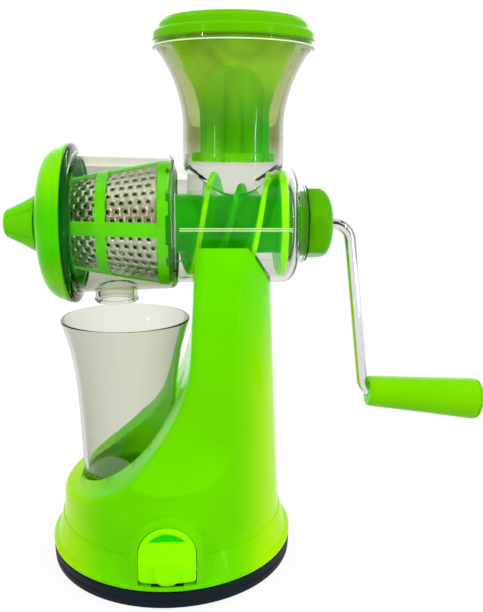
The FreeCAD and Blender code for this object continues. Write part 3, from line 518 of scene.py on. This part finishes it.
fit("foot_plate", from_solid("base_plate"), plate_black, "base_black", "stand", "base_plate")
fit("foot_screws", from_solid("base_screws"), zinc, "screw_steel", "stand", "base_screws")
fit("pad_stud", from_solid("vacuum_stud"), zinc, "stud_steel", "vacuum_lift", "vacuum_stud")
fit("pad_lift_bar", from_solid("lift_bar"), zinc, "bar_steel", "vacuum_lift", "lift_bar")
fit("pad_stud_nut", from_solid("stud_nut"), zinc, "nut_steel", "vacuum_lift", "stud_nut")

# ------------------------------------------------------------------
# Vacuum lever
# A lime lever sits flush in its arch at the foot, with a thumb scoop at the top
# and a round boss over the steel pin that it turns on.
# ------------------------------------------------------------------
# Painted light on the lever: a lighter, yellower green than the stand's for its face turned to the lamps,
# darker below 20 mm as painted shade, deep green in the thumb scoop as painted shade, and a painted glow.
lever_lime = plastic("lever_lime", tone(144, 253, 0), glow=0.1, painted_glow=0.1)
shift_colour(lever_lime, tone(112, 198, 0), "Z", 20, 12)
shift_colour(lever_lime, tone(20, 214, 0), "Y", -70.3, -70.0)
fit("lock_lever", from_solid("vacuum_lever"), lever_lime, "lever_green", "lever", "vacuum_lever")
fit("lock_lever_pin", from_solid("lever_pin"), bright_steel, "pin_steel", "stand", "lever_pin")

# ------------------------------------------------------------------
# Tumbler
# A clear moulded cup with a thick floor and a flared mouth, standing in the
# scooped opening of the stand.
# ------------------------------------------------------------------


def clear_plastic(name, tint, edge=0.35, band_tint=None, along="Z", low=0.0, high=1.0):
    """Clear styrene: light soaks through with a faint smoky tint, deeper by edge where the wall is seen along
    its length, and the skin has slow moulding ripples. Between low and high, in millimetres along an axis, the
    tint goes over into a second colour."""
    rough, shade, ripple = 0.015, 0.97, 0.04
    made = bpy.data.materials.new(name)
    made.use_nodes = True
    tree = made.node_tree
    link = tree.links.new
    shader = tree.nodes["Principled BSDF"]
    facing = shader_node(tree, "ShaderNodeLayerWeight", {"Blend": 0.25})
    rim = (*(edge * np.array(tint[:3])), 1)
    deep = shader_node(tree, "ShaderNodeMix", {"A": tint, "B": rim}, data_type="RGBA")
    link(facing.outputs["Facing"], deep.inputs["Factor"])
    if band_tint:
        spot = shader_node(tree, "ShaderNodeTexCoord")
        split = shader_node(tree, "ShaderNodeSeparateXYZ")
        link(spot.outputs["Object"], split.inputs["Vector"])
        rise = shader_node(tree, "ShaderNodeMapRange", {"From Min": low * MM, "From Max": high * MM})
        link(split.outputs[along], rise.inputs["Value"])
        banded = shader_node(tree, "ShaderNodeMix", {"A": tint, "B": band_tint}, data_type="RGBA")
        link(rise.outputs["Result"], banded.inputs["Factor"])
        link(banded.outputs["Result"], deep.inputs["A"])
    link(deep.outputs["Result"], shader.inputs["Base Color"])
    shader.inputs["Transmission Weight"].default_value = 1.0
    shader.inputs["IOR"].default_value = 1.36
    shader.inputs["Specular Tint"].default_value = (0.4, 0.42, 0.36, 1)
    place = shader_node(tree, "ShaderNodeTexCoord")
    haze = shader_node(tree, "ShaderNodeTexNoise", {"Scale": 60.0, "Detail": 4.0})
    link(place.outputs["Object"], haze.inputs["Vector"])
    span = {"From Min": 0.45, "From Max": 0.8, "To Min": rough, "To Max": rough * 3}
    spread = shader_node(tree, "ShaderNodeMapRange", span)
    link(haze.outputs["Fac"], spread.inputs["Value"])
    link(spread.outputs["Result"], shader.inputs["Roughness"])
    wave = shader_node(tree, "ShaderNodeTexNoise", {"Scale": 70.0, "Detail": 0.0})
    link(place.outputs["Object"], wave.inputs["Vector"])
    bump = shader_node(tree, "ShaderNodeBump", {"Strength": ripple, "Distance": 0.0004})
    link(wave.outputs["Fac"], bump.inputs["Height"])
    link(bump.outputs["Normal"], shader.inputs["Normal"])
    through = shader_node(tree, "ShaderNodeBsdfTransparent", {"Color": (shade, shade, shade, 1)})
    rays = shader_node(tree, "ShaderNodeLightPath")
    mix = shader_node(tree, "ShaderNodeMixShader")
    link(rays.outputs["Is Shadow Ray"], mix.inputs["Fac"])
    link(shader.outputs["BSDF"], mix.inputs[1])
    link(through.outputs["BSDF"], mix.inputs[2])
    link(mix.outputs["Shader"], tree.nodes["Material Output"].inputs["Surface"])
    return made


CUP_X, CUP_FLOOR, CUP_RIM, CUP_WALL = -27, 46.0, 38.75, 2.0
side = [(88, 29.4, 60), (112, 30.9, 60), (130.5, 33.5, 50), (144, 37.1, 30), (149, CUP_RIM)]
cup_outline = rounded([
    (CUP_FLOOR, 0), (CUP_FLOOR, 28.0, 4.5), *side, (150.2, CUP_RIM, 0.7), (150.2, CUP_RIM - CUP_WALL, 0.7),
    *[(height, r - CUP_WALL, *bend) for height, r, *bend in reversed(side)],
    (CUP_FLOOR + 6, 26.0, 4), (CUP_FLOOR + 6, 0),
])
cup_clear = clear_plastic("cup_clear", (0.80, 0.82, 0.74, 1))
cup_mesh = build("cup", [turned(cup_outline, (CUP_X, 0, 0), (0, 0, 1), 160)])
fit("cup", cup_mesh, cup_clear, "tumbler_clear", "tumbler", "tumbler")

# ------------------------------------------------------------------
# Feed barrel and hopper
# One clear moulding: a short barrel across the top of the stand, a trumpet
# hopper standing on it, a collar behind and two bayonet lugs in front.
# ------------------------------------------------------------------
BARREL_R, LUG_R, LUG_HALF = 35.0, 36.7, 12.2
HOPPER_X, HOPPER_R, THROAT_R = 38.0, 45.9, 29.2


def sector(r0, r1, x0, x1, half, at):
    """Block between two radii about the barrel's axis, within half degrees of at, which is 0 on the near
    side."""
    t = np.radians(np.linspace(at - half, at + half, 24))[:, None]
    r = np.array([r0, r1, r1, r0], float)
    x = np.array([x0, x0, x1, x1], float) + 0 * t
    return capped(np.stack([x, -r * np.cos(t), AXIS + r * np.sin(t)], 2))


def hopper_wall(t, bottom, top):
    """Outline of the hopper from (height, radius), drawn in by t: a straight throat, then the trumpet's arc."""
    bell = bow((260, THROAT_R - t), (282, 32.4 - t), (305, 44.0 - t), 24)
    lip = [(306.6, HOPPER_R - t), (top, HOPPER_R - t), (top, 0)]
    return np.concatenate([[(bottom, 0), (bottom, THROAT_R - t)], bell, lip])


tube = turned(rounded([(-4, 0), (-4, BARREL_R), (75, BARREL_R, 8), (75, 0)], 16), (0, 0, AXIS))
collar = turned(rounded([(70, 0), (70, 23.4), (80.3, 23.4, 1.2), (80.3, 0)]), (0, 0, AXIS))
hopper = turned(hopper_wall(0, AXIS, 309), (HOPPER_X, 0, 0), (0, 0, 1))
rails = [slab(7, 69.5, s * 35.4 - 0.8, s * 35.4 + 0.8, 206.6, 208.2) for s in (-1, 1)]
rail_edges = [turned(np.array([(7, 0), (7, 0.3), (69.5, 0.3), (69.5, 0)]), (0, s * 36.1, z), turns=12)
              for s in (-1, 1) for z in (206.8, 208.0)]
lip_outline = np.array([(305.9, 45.6), (305.9, 46.15), (306.6, 46.15), (306.6, 45.6)])
lip_line = turned(lip_outline, (HOPPER_X, 0, 0), (0, 0, 1))
lugs = [sector(33.5, LUG_R, -0.4, 2.2, LUG_HALF, a) for a in (0, 180)]
bore = turned(rounded([(-6, 0), (-6, 32), (72, 32, 5), (72, 0)], 12), (0, 0, AXIS))
throat = turned(hopper_wall(2.2, AXIS, 312), (HOPPER_X, 0, 0), (0, 0, 1))
collar_bore = turned(np.array([(75, 0), (75, 19.5), (90, 19.5), (90, 0)]), (0, 0, AXIS))
hub_bore = turned(np.array([(60, 0), (60, 11.05), (90, 11.05), (90, 0)]), (0, 0, AXIS))
groove = turned(np.array([(2.7, 33.6), (2.7, 37.0), (4.7, 37.0), (4.7, 33.6)]), (0, 0, AXIS))
barrel_mesh = combined(
    "barrel_and_hopper",
    [tube, hopper, collar, slab(24, 50, -11, 11, 166, 174), *rails, *lugs],
    [bore, throat, collar_bore, hub_bore, groove],
)
# The barrel's tint turns greener and darker from 240 to 256 mm of height, over the barrel's top and the foot of
# the throat.
barrel_clear = clear_plastic(
    "barrel_clear", (0.83, 0.84, 0.79, 1), edge=0.6, band_tint=(0.44, 0.50, 0.25, 1), low=240, high=256,
)
fit("barrel_and_hopper", barrel_mesh, barrel_clear, "barrel_clear", "stand", "feed_barrel")
# The thin ridges along the rails and round the hopper lip are painted highlight lines: pale plastic with a
# painted glow.
ridge_painted_highlight = plastic("ridge_painted_highlight", tone(196, 226, 160), painted_glow=0.4)
fit("parting_ridges", build("parting_ridges", [*rail_edges, lip_line]), ridge_painted_highlight, "barrel_clear", "stand")
fit("saddle_screws", from_solid("barrel_screws"), zinc, "screw_steel", "stand", "barrel_screws")
seal_white = rubber("seal_silicone", tone(205, 205, 200))
fit("hub_seal", from_solid("chamber_seal"), seal_white, "seal_silicone", "stand", "chamber_seal")

# ------------------------------------------------------------------
# Juice chamber
# A clear drum that twists onto the barrel's lugs, with a stepped mouth flange
# and a short spout over the tumbler.
# ------------------------------------------------------------------
DRUM_X, DRUM_Z, DRUM_R, DRUM_TILT = -52.0, 207.4, 41.0, math.radians(0.6)
MOUTH_X, FLANGE_END, SPOUT_X = -56.4, -50.6, -32.0
drum_way = (math.cos(DRUM_TILT), 0, math.sin(DRUM_TILT))
drum_middle = (DRUM_X, 0, DRUM_Z)
drum = turned(rounded([(0, 0), (0, DRUM_R), (57, DRUM_R - 1.6, 4.5), (57, 0)], 12), drum_middle, drum_way)
hollow_outline = rounded([(-3, 0), (-3, DRUM_R - 1.8), (54.5, DRUM_R - 3.4, 0.8), (54.5, 0)])
hollow = turned(hollow_outline, drum_middle, drum_way)
flange = turned(rounded([
    (MOUTH_X, 0), (MOUTH_X, 46.9, 0.8), (FLANGE_END - 2.8, 46.4, 2.2), (FLANGE_END - 0.6, DRUM_R + 0.6, 0.8),
    (FLANGE_END, DRUM_R - 1), (FLANGE_END, 0),
]), (0, 0, AXIS))
spout_outline = rounded([
    (160.5, 0), (160.5, 13.2, 0.6), (162.5, 13.2, 0.6), (162.7, 12.6), (180, 12.6), (180, 0),
])
spout = turned(spout_outline, (SPOUT_X, 0, 0), (0, 0, 1))
mouth = turned(np.array([(-58.0, 0), (-58.0, 39.9), (-52.6, 39.9), (-52.6, 0)]), (0, 0, AXIS))
spout_hole = np.array([(150.0, 0), (150.0, 10.0), (185.0, 10.0), (185.0, 0)])
spout_bore = turned(spout_hole, (SPOUT_X, 0, 0), (0, 0, 1))
seat = turned(np.array([(-3.0, 0), (-3.0, 35.35), (10.0, 35.35), (10.0, 0)]), (0, 0, AXIS))
notches = [sector(30, LUG_R + 0.5, 2.2, 8, LUG_HALF + 1, a - 28) for a in (0, 180)]
chamber_mesh = combined("drum", [drum, flange, spout], [hollow, mouth, spout_bore, seat, *notches])
# Painted shade: the drum's tint turns dark green towards its mouth flange, where the cap and its ring sit
# behind it.
chamber_clear = clear_plastic(
    "chamber_clear", (0.73, 0.75, 0.66, 1), edge=0.45, band_tint=(0.24, 0.62, 0.22, 1), along="X", low=-49.6,
    high=-52.0,
)
fit("drum", chamber_mesh, chamber_clear, "chamber_clear", "chamber", "juice_chamber")

# ------------------------------------------------------------------
# Strainer
# A cone rolled from thin steel sheet punched with staggered round holes, held
# in a green cage of four ribs, a middle hoop and a castellated crown.
# ------------------------------------------------------------------
CONE_X, CONE_R, CONE_SLOPE = -61.0, 24.0, 10.5 / 55.0


def perforated_cone(rows=40, columns=11, x0=-60.5, x1=-5.3, hole=0.98):
    """Sheet of rows x columns cells rolled to a cone. A cell is 16 points round its square joined to 16 on the
    hole circle; every second row is shifted by half a cell. Sheet place (u, v) goes to x0 + u * cos(lean)
    along the axis, at radius R(u) and angle v: the hole's sideways reach is divided by R(u)."""
    lean = math.atan(CONE_SLOPE)
    length = (x1 - x0) / math.cos(lean)
    pitch = length / columns
    k = np.arange(16)
    ring = np.stack([np.cos(k * math.pi / 8), np.sin(k * math.pi / 8)], 1)
    square = ring / np.abs(ring).max(1, keepdims=True)
    steps = np.array([0.0, 0.5, 1.0])[np.minimum(np.round(np.abs(square) * 2).astype(int), 2)]
    square = np.sign(square) * steps
    row, column = np.meshgrid(np.arange(rows), np.arange(columns + 1), indexing="ij")
    even = row % 2 == 0
    keep = ~(even & (column == columns))
    row, column, even = row[keep], column[keep], even[keep]
    centre = np.where(even, column + 0.5, column) * pitch
    edge = square[None, :, 0] * pitch / 2 + centre[:, None]
    punched = even | ((column > 0) & (column < columns))
    edge_u = np.clip(edge, 0, length)
    edge_v = (row[:, None] + square[None, :, 1] / 2) * 2 * math.pi / rows
    hole_u = centre[:, None] + ring[None, :, 0] * hole
    radius = CONE_R + ((x0 - CONE_X) + hole_u * math.cos(lean)) * CONE_SLOPE
    hole_v = row[:, None] * 2 * math.pi / rows + ring[None, :, 1] * hole / radius
    u = np.stack([edge_u, hole_u], 1)[punched].reshape(-1)
    v = np.stack([edge_v, hole_v], 1)[punched].reshape(-1)
    cells = int(punched.sum())
    base = (np.arange(cells) * 32)[:, None]
    nxt = (k + 1) % 16
    faces = np.stack([base + k, base + nxt, base + 16 + nxt, base + 16 + k], 2).reshape(-1, 4)
    blank_u = edge_u[~punched].reshape(-1)
    blank_v = edge_v[~punched].reshape(-1)
    blanks = len(blank_u) // 16
    start = cells * 32
    fan = start + (np.arange(blanks) * 16)[:, None]
    step = k[:7]
    pairs = np.stack([fan + step, fan + step + 1, fan + 14 - step, fan + (15 - step) % 16], 2).reshape(-1, 4)
    u, v = np.concatenate([u, blank_u]), np.concatenate([v, blank_v])
    x = x0 + u * math.cos(lean)
    r = CONE_R + (x - CONE_X) * CONE_SLOPE
    points = np.stack([x, -r * np.cos(v), AXIS + r * np.sin(v)], 1)
    return points, np.concatenate([faces, pairs])


strainer_sheet = build("strainer_sheet", [perforated_cone()])
punched_steel = metal("punched_steel", (0.88, 0.85, 0.80, 1), 0.26, (1, 12, 12), 0.02)
steel_tree = punched_steel.node_tree
steel_base = steel_tree.nodes["Principled BSDF"].inputs["Base Color"]
sheet_place = shader_node(steel_tree, "ShaderNodeTexCoord")
sheet_split = shader_node(steel_tree, "ShaderNodeSeparateXYZ")
# The sheet's colour steps by height: its lighter and darker bands are painted reflection, and the brown band
# across the middle is partly juice stain and partly painted reflection.
SHADES_LOW, SHADES_SPAN = 170, 75
sheet_span = {"From Min": SHADES_LOW * MM, "From Max": (SHADES_LOW + SHADES_SPAN) * MM}
sheet_rise = shader_node(steel_tree, "ShaderNodeMapRange", sheet_span)
shade_ramp = shader_node(steel_tree, "ShaderNodeValToRGB")
shaded_steel = shader_node(steel_tree, "ShaderNodeMix", {"Factor": 1.0}, data_type="RGBA", blend_type="MULTIPLY")
stain_and_reflection_shades = ((170, (0.9, 0.9, 0.9)), (203, (1, 1, 1)), (206, (0.5, 0.42, 0.33)), (217, (0.52, 0.46, 0.38)),
               (226, (0.95, 0.93, 0.9)), (240, (0.66, 0.65, 0.6)))
for height, shade in stain_and_reflection_shades:
    stop = shade_ramp.color_ramp.elements.new((height - SHADES_LOW) / SHADES_SPAN)
    stop.color = (*shade, 1)
for spare in (shade_ramp.color_ramp.elements[0], shade_ramp.color_ramp.elements[-1]):
    spare.color = (0.8, 0.8, 0.78, 1)
steel_tree.links.new(sheet_place.outputs["Object"], sheet_split.inputs["Vector"])
steel_tree.links.new(sheet_split.outputs["Z"], sheet_rise.inputs["Value"])
steel_tree.links.new(sheet_rise.outputs["Result"], shade_ramp.inputs["Fac"])
steel_tree.links.new(steel_base.links[0].from_socket, shaded_steel.inputs["A"])
steel_tree.links.new(shade_ramp.outputs["Color"], shaded_steel.inputs["B"])
steel_tree.links.new(shaded_steel.outputs["Result"], steel_base)
strainer = fit("strainer_sheet", strainer_sheet, punched_steel, "mesh_steel", "stand", "strainer_mesh")
wall = strainer.modifiers.new("sheet_wall", "SOLIDIFY")
wall.thickness = 0.6 * MM
wall.offset = -1.0
# A strong painted glow lights the cage, standing in for light that doesn't reach it through the drum.
cage_green = plastic("cage_green", tone(88, 200, 0), flow=0.2, glow=0.1, painted_glow=0.45, shine=0.05)
cage = from_solid("strainer_frame")
points = np.empty(len(cage.vertices) * 3)
cage.vertices.foreach_get("co", points)
points = points.reshape(-1, 3)
HOOP_CUT, HOOP_PLACE = (-38.2, -32.8), (-40.0, -34.1)
moved_x = np.interp(points[:, 0] / MM, [-62.0, *HOOP_CUT, -5.0, 5.0], [-62.0, *HOOP_PLACE, -5.0, 5.0])
points[:, 0] = moved_x * MM
cage.vertices.foreach_set("co", points.ravel())
fit("strainer_cage", cage, cage_green, "frame_green", "stand", "strainer_frame")

# ------------------------------------------------------------------
# Front cap and pulp nozzle
# A domed green cap screws onto the chamber mouth over a soft ring, and a fluted
# nozzle screws into its middle to meter the dry pulp.
# ------------------------------------------------------------------
CAP_X, CAP_FACE, PLUG_R, NOZZLE_R = -56.6, -75.2, 39.5, 16.5
cap_rim = rounded([
    (-64.5, 37.3), (CAP_X - 1.8, 37.3), (CAP_X, PLUG_R + 4.6), (CAP_X, 46.9, 0.8), (-59.8, 45.7, 0.8),
    (-60.3, 45.2),
])[7:]
shoulder = bow((-60.3, 45.2), (-66.9, 42.0), (-71.2, 35.0))
dome = np.concatenate([shoulder, bow((-71.2, 35.0), (-73.5, 27.0), (CAP_FACE, 18.4))])
cavity = rounded([
    (CAP_FACE, NOZZLE_R), (-66.0, NOZZLE_R), (-66.0, 19.5), (-72.9, 19.5), (-70.9, 27.5, 4), (-68.4, 33.0, 6),
    (-64.5, 37.3, 4), (CAP_X - 1.8, 37.3),
])
cap_outline = np.concatenate([cap_rim, dome, cavity])
thread_outline = np.array([(-59.0, 37.3), (-59.0, PLUG_R), (-53.0, PLUG_R), (-53.0, 37.3)])
cap_green = plastic("cap_green", tone(76, 206, 0), flow=0.12, glow=0.1, painted_glow=0.06)
# Painted light on the cap: lighter and yellower towards the top and the bottom as painted light, dark green on
# its back face against the flange as painted shade, and a faint painted glow.
shift_colour(cap_green, tone(126, 226, 0), "Z", 214, 238)
shift_colour(cap_green, tone(118, 216, 0), "Z", 198, 178)
shift_colour(cap_green, tone(0, 96, 12), "X", -56.75, -56.55)
cap_mesh = build("cap_dome", [turned(cap_outline, (0, 0, AXIS))])
fit("cap_dome", cap_mesh, cap_green, "cap_green", "cap", "front_cap")
# The cap's thread is a darker copy of the cap's green, painted shade inside the flange, with a painted glow.
thread_shade_green = plastic("thread_shade_green", tone(10, 110, 14), painted_glow=0.35, shine=0.05)
thread_mesh = build("cap_thread", [turned(thread_outline, (0, 0, AXIS))])
fit("cap_thread", thread_mesh, thread_shade_green, "cap_green", "cap")
seal_dark = rubber("seal_green", tone(0, 70, 14))
fit("cap_ring", from_solid("cap_gasket"), seal_dark, "seal_silicone", "cap_seal", "cap_gasket")
# A faint painted glow lights the nozzle.
nozzle_green = plastic("nozzle_green", tone(104, 210, 0), glow=0.1, painted_glow=0.06)
fit("nozzle", from_solid("pulp_nozzle"), nozzle_green, "nozzle_green", "nozzle", "pulp_nozzle")
fit("nozzle_seal_ring", from_solid("nozzle_ring"), seal_dark, "seal_silicone", "nozzle_seal", "nozzle_ring")

# ------------------------------------------------------------------
# Auger
# One dark green moulding: a core with a left-hand flight of 32 mm pitch, a short
# second flight between its turns under the hopper, and a disc behind.
# ------------------------------------------------------------------
CORE, FLIGHT, PITCH, REAR = 17.6, 30.6, 32.0, 64.0


def blade(start, end, r0, r1, turns, phase, ramp=0.0):
    """Helical flight: the profile (radius, axial place) goes at part s of the way to
    x = start + (end - start) * s, turned by phase - 360 * turns * s degrees, with its crest at
    r0 + (r1 - r0) * s, sunk into the core over ramp."""
    crest = rounded([(0, -1.3, 0.7), (0, 1.3, 0.7), (-14, 3.0), (-14, -3.0)], 5)
    count = int(72 * turns) + 1
    s = np.linspace(0, 1, count)[:, None]
    angle = np.radians(phase - 360 * turns * s)
    rise = np.clip(s * turns / ramp, 0, 1) if ramp else np.ones_like(s)
    rise = rise * rise * (3 - 2 * rise)
    top = r0 + (r1 - r0) * s - (1 - rise) * (FLIGHT - CORE)
    r = np.maximum(top + crest[None, :, 0], 2.0)
    x = start + (end - start) * s + crest[None, :, 1]
    return capped(np.stack([x, r * np.sin(angle), AXIS - r * np.cos(angle)], 2))


core_outline = rounded([
    (-70, 0), (-70, 5.0, 2), (-62, 9.5, 4), (-56, 13.0, 8), (-21, CORE, 20), (REAR, CORE, 1.5),
    (REAR, 31.2, 0.8), (68, 31.2, 0.8), (68, 0),
])
auger_parts = [
    turned(core_outline, (0, 0, AXIS)),
    blade(-21, REAR, FLIGHT, FLIGHT, (REAR + 21) / PITCH, 0),
    blade(-58, -21, 23.2, FLIGHT, 1.5, 540, 0.3),
    blade(22, 54, 24.0, 24.0, 1.0, 360 * -43 / PITCH + 180, 0.25),
]
auger_green = plastic("auger_green", tone(30, 165, 0), flow=0.4, gloss=0.16, glow=0.05, painted_glow=0.5, shine=0.05)
# Painted light on the auger: the flight crests go pale lime as painted highlights, the nose inside the strainer
# goes dark green as painted shade, and a strong painted glow lights it all.
shift_colour(auger_green, tone(124, 214, 0), "Radius", 26.5, 31.5)
shift_colour(auger_green, tone(0, 52, 0), "X", -4, -12)
fit("screw_auger", build("screw_auger", auger_parts), auger_green, "auger_green", "auger", "auger")

# ------------------------------------------------------------------
# Crank
# A chromed steel rod bent twice drives the auger through a square green hub. A
# domed hexagon nut holds it in the barrel, and a tapered grip turns on its end.
# ------------------------------------------------------------------
# A painted glow lights the hub.
hub_green = plastic("hub_green", tone(60, 190, 0), glow=0.1, painted_glow=0.3, shine=0.05)
fit("square_hub", from_solid("drive_hub"), hub_green, "hub_green", "crank", "drive_hub")
fit("hub_cross_pin", from_solid("hub_pin"), bright_steel, "pin_steel", "crank", "hub_pin")
# The washer's dark green is painted shade for the dark gap under the nut.
washer_shade_green = plastic("washer_nylon", tone(8, 84, 10), gloss=0.3)
fit("carrier_washer", from_solid("nut_washer"), washer_shade_green, "washer_nylon", "crank_carrier", "nut_washer")


def domed_hexagon(inner=19.4, turned_by=17.5, soft=0.35):
    """Radius at angle t is the soft least of the hexagon, inner / cos(t - nearest flat), and the turned dome
    at that place along the axis: -soft * log(exp(-a / soft) + exp(-b / soft))."""
    t = np.linspace(0, 2 * math.pi, 288, endpoint=False)
    flat = (np.degrees(t) - turned_by) % 60.0 - 30.0
    hexagon = inner / np.cos(np.radians(flat))
    bend = np.linspace(0, math.pi / 2, 40)
    x = np.concatenate([[81.1, 81.1, 81.4, 82.0], np.linspace(83, 87, 8), 87.3 + 10.0 * np.sin(bend)])
    dome = np.concatenate([[0.0, 20.6, 21.3, 21.6], np.full(8, 21.6), 21.6 * np.cos(bend) ** 0.62])
    a, b = hexagon[None, :] / soft, dome[:, None] / soft
    r = np.maximum(-soft * (np.logaddexp(-a, -b)), 0.0)
    r[0], r[-1] = 0.0, 0.0
    points = np.stack([x[:, None] + 0 * r, -r * np.cos(t), AXIS + r * np.sin(t)], 2)
    return points.reshape(-1, 3), quads(len(x), len(t), False, True)


sleeve_outline = rounded([(75.6, 12), (75.6, 19.3, 0.6), (81.3, 19.3), (81.3, 12)])
# A faint painted glow lights the nut.
nut_green = plastic("nut_green", tone(86, 174, 0), flow=0.06, glow=0.1, painted_glow=0.08)
nut_parts = [domed_hexagon(), turned(sleeve_outline, (0, 0, AXIS))]
fit("hexagon_nut", build("hexagon_nut", nut_parts, 50.0), nut_green, "nut_green", "lock_nut", "lock_nut")


def rod_along(route, radius, around=40):
    """Round bar along a route in the crank's plane: a ring of the radius stands square to it at every
    point."""
    ahead = np.gradient(route, axis=0)
    ahead = unit(ahead)
    across = np.stack([-ahead[:, 1], ahead[:, 0]], 1)
    t = np.linspace(0, 2 * math.pi, around, endpoint=False)[None, :]
    x = route[:, :1] + radius * np.cos(t) * across[:, :1]
    z = route[:, 1:] + radius * np.cos(t) * across[:, 1:]
    return capped(np.stack([x, radius * np.sin(t) + 0 * x, z], 2))


GRIP_TILT = math.radians(-5.2)
grip_axis = np.array([math.cos(GRIP_TILT), 0.0, math.sin(GRIP_TILT)])
grip_mouth = np.array([121.1, 0, 101.2]) + 2.9 * grip_axis
rod_end = grip_mouth + 66.5 * grip_axis
route = rounded([(70.0, AXIS), (108.0, AXIS, 11), (121.1, 101.2, 9), (rod_end[0], rod_end[2])], 24)
keep = np.concatenate([[True], np.linalg.norm(np.diff(route, axis=0), axis=1) > 1e-6])
rod_chrome = metal("rod_chrome", (0.80, 0.80, 0.82, 1), 0.07, (1, 1, 0.08), 0.02)
rod_mesh = build("bent_rod", [rod_along(route[keep], 3.5)], 60.0)
fit("bent_rod", rod_mesh, rod_chrome, "rod_chrome", "crank", "crank_rod")

grip_outline = rounded([
    (0, 3.6), (0, 9.0, 0.5), (2, 9.6, 1.0), (40, 11.4, 60), (66, 12.9, 8), (69.8, 12.9, 0.4), (69.8, 3.6),
])
# A faint painted glow lights the grip.
grip_green = plastic("grip_green", tone(124, 216, 0), flow=0.06, glow=0.1, painted_glow=0.08)
grip_mesh = build("turning_grip", [turned(grip_outline, grip_mouth, grip_axis)])
fit("turning_grip", grip_mesh, grip_green, "grip_green", "grip", "crank_grip")
plug_outline = rounded([
    (69.0, 0), (69.0, 10.1), (70.1, 10.1), (70.1, 12.8, 0.3), (71.6, 12.2, 1.5), (73.0, 8.0, 6), (73.4, 0),
])
plug_mesh = build("grip_end", [turned(plug_outline, grip_mouth, grip_axis)])
fit("grip_end", plug_mesh, grip_green, "grip_green", "grip", "grip_plug")
fit("grip_keeper", from_solid("grip_clip"), bright_steel, "clip_steel", "crank", "grip_clip")

# ------------------------------------------------------------------
# Pusher
# A stepped green lid closes the hopper, and its hollow stem, open in four arched
# doors, presses the fruit down onto the auger.
# ------------------------------------------------------------------
RIM = 309.2
lid_outline = rounded([
    (RIM, 0), (RIM, 46.1, 0.6), (314.6, 45.7, 2.2), (315.0, 43.0, 0.4), (318.4, 42.3, 2), (321.0, 40.2, 2.0),
    (321.0, 0),
])
# A faint painted glow lights the lid.
lid_green = plastic("lid_green", tone(104, 194, 0), flow=0.06, glow=0.1, painted_glow=0.05)
lid_mesh = build("stepped_lid", [turned(lid_outline, (HOPPER_X, 0, 0), (0, 0, 1), 160)])
fit("stepped_lid", lid_mesh, lid_green, "lid_green", "pusher", "pusher_cap")
# Painted light on the stem: darker towards its right side as painted shade, paler towards the top as painted
# light, and a strong painted glow.
stem_green = plastic("stem_green", tone(86, 172, 0), flow=0.4, glow=0.1, painted_glow=0.45, shine=0.05)
shift_colour(stem_green, tone(44, 160, 0), "X", 42, 56)
shift_colour(stem_green, tone(170, 218, 60), "Z", 262, 300)
fit("hollow_stem", from_solid("pusher_stem"), stem_green, "stem_green", "pusher", "pusher_stem")

# ------------------------------------------------------------------
# View
# The picture's colours go through the standard view transform.
# ------------------------------------------------------------------
scene.view_settings.view_transform = "Standard"
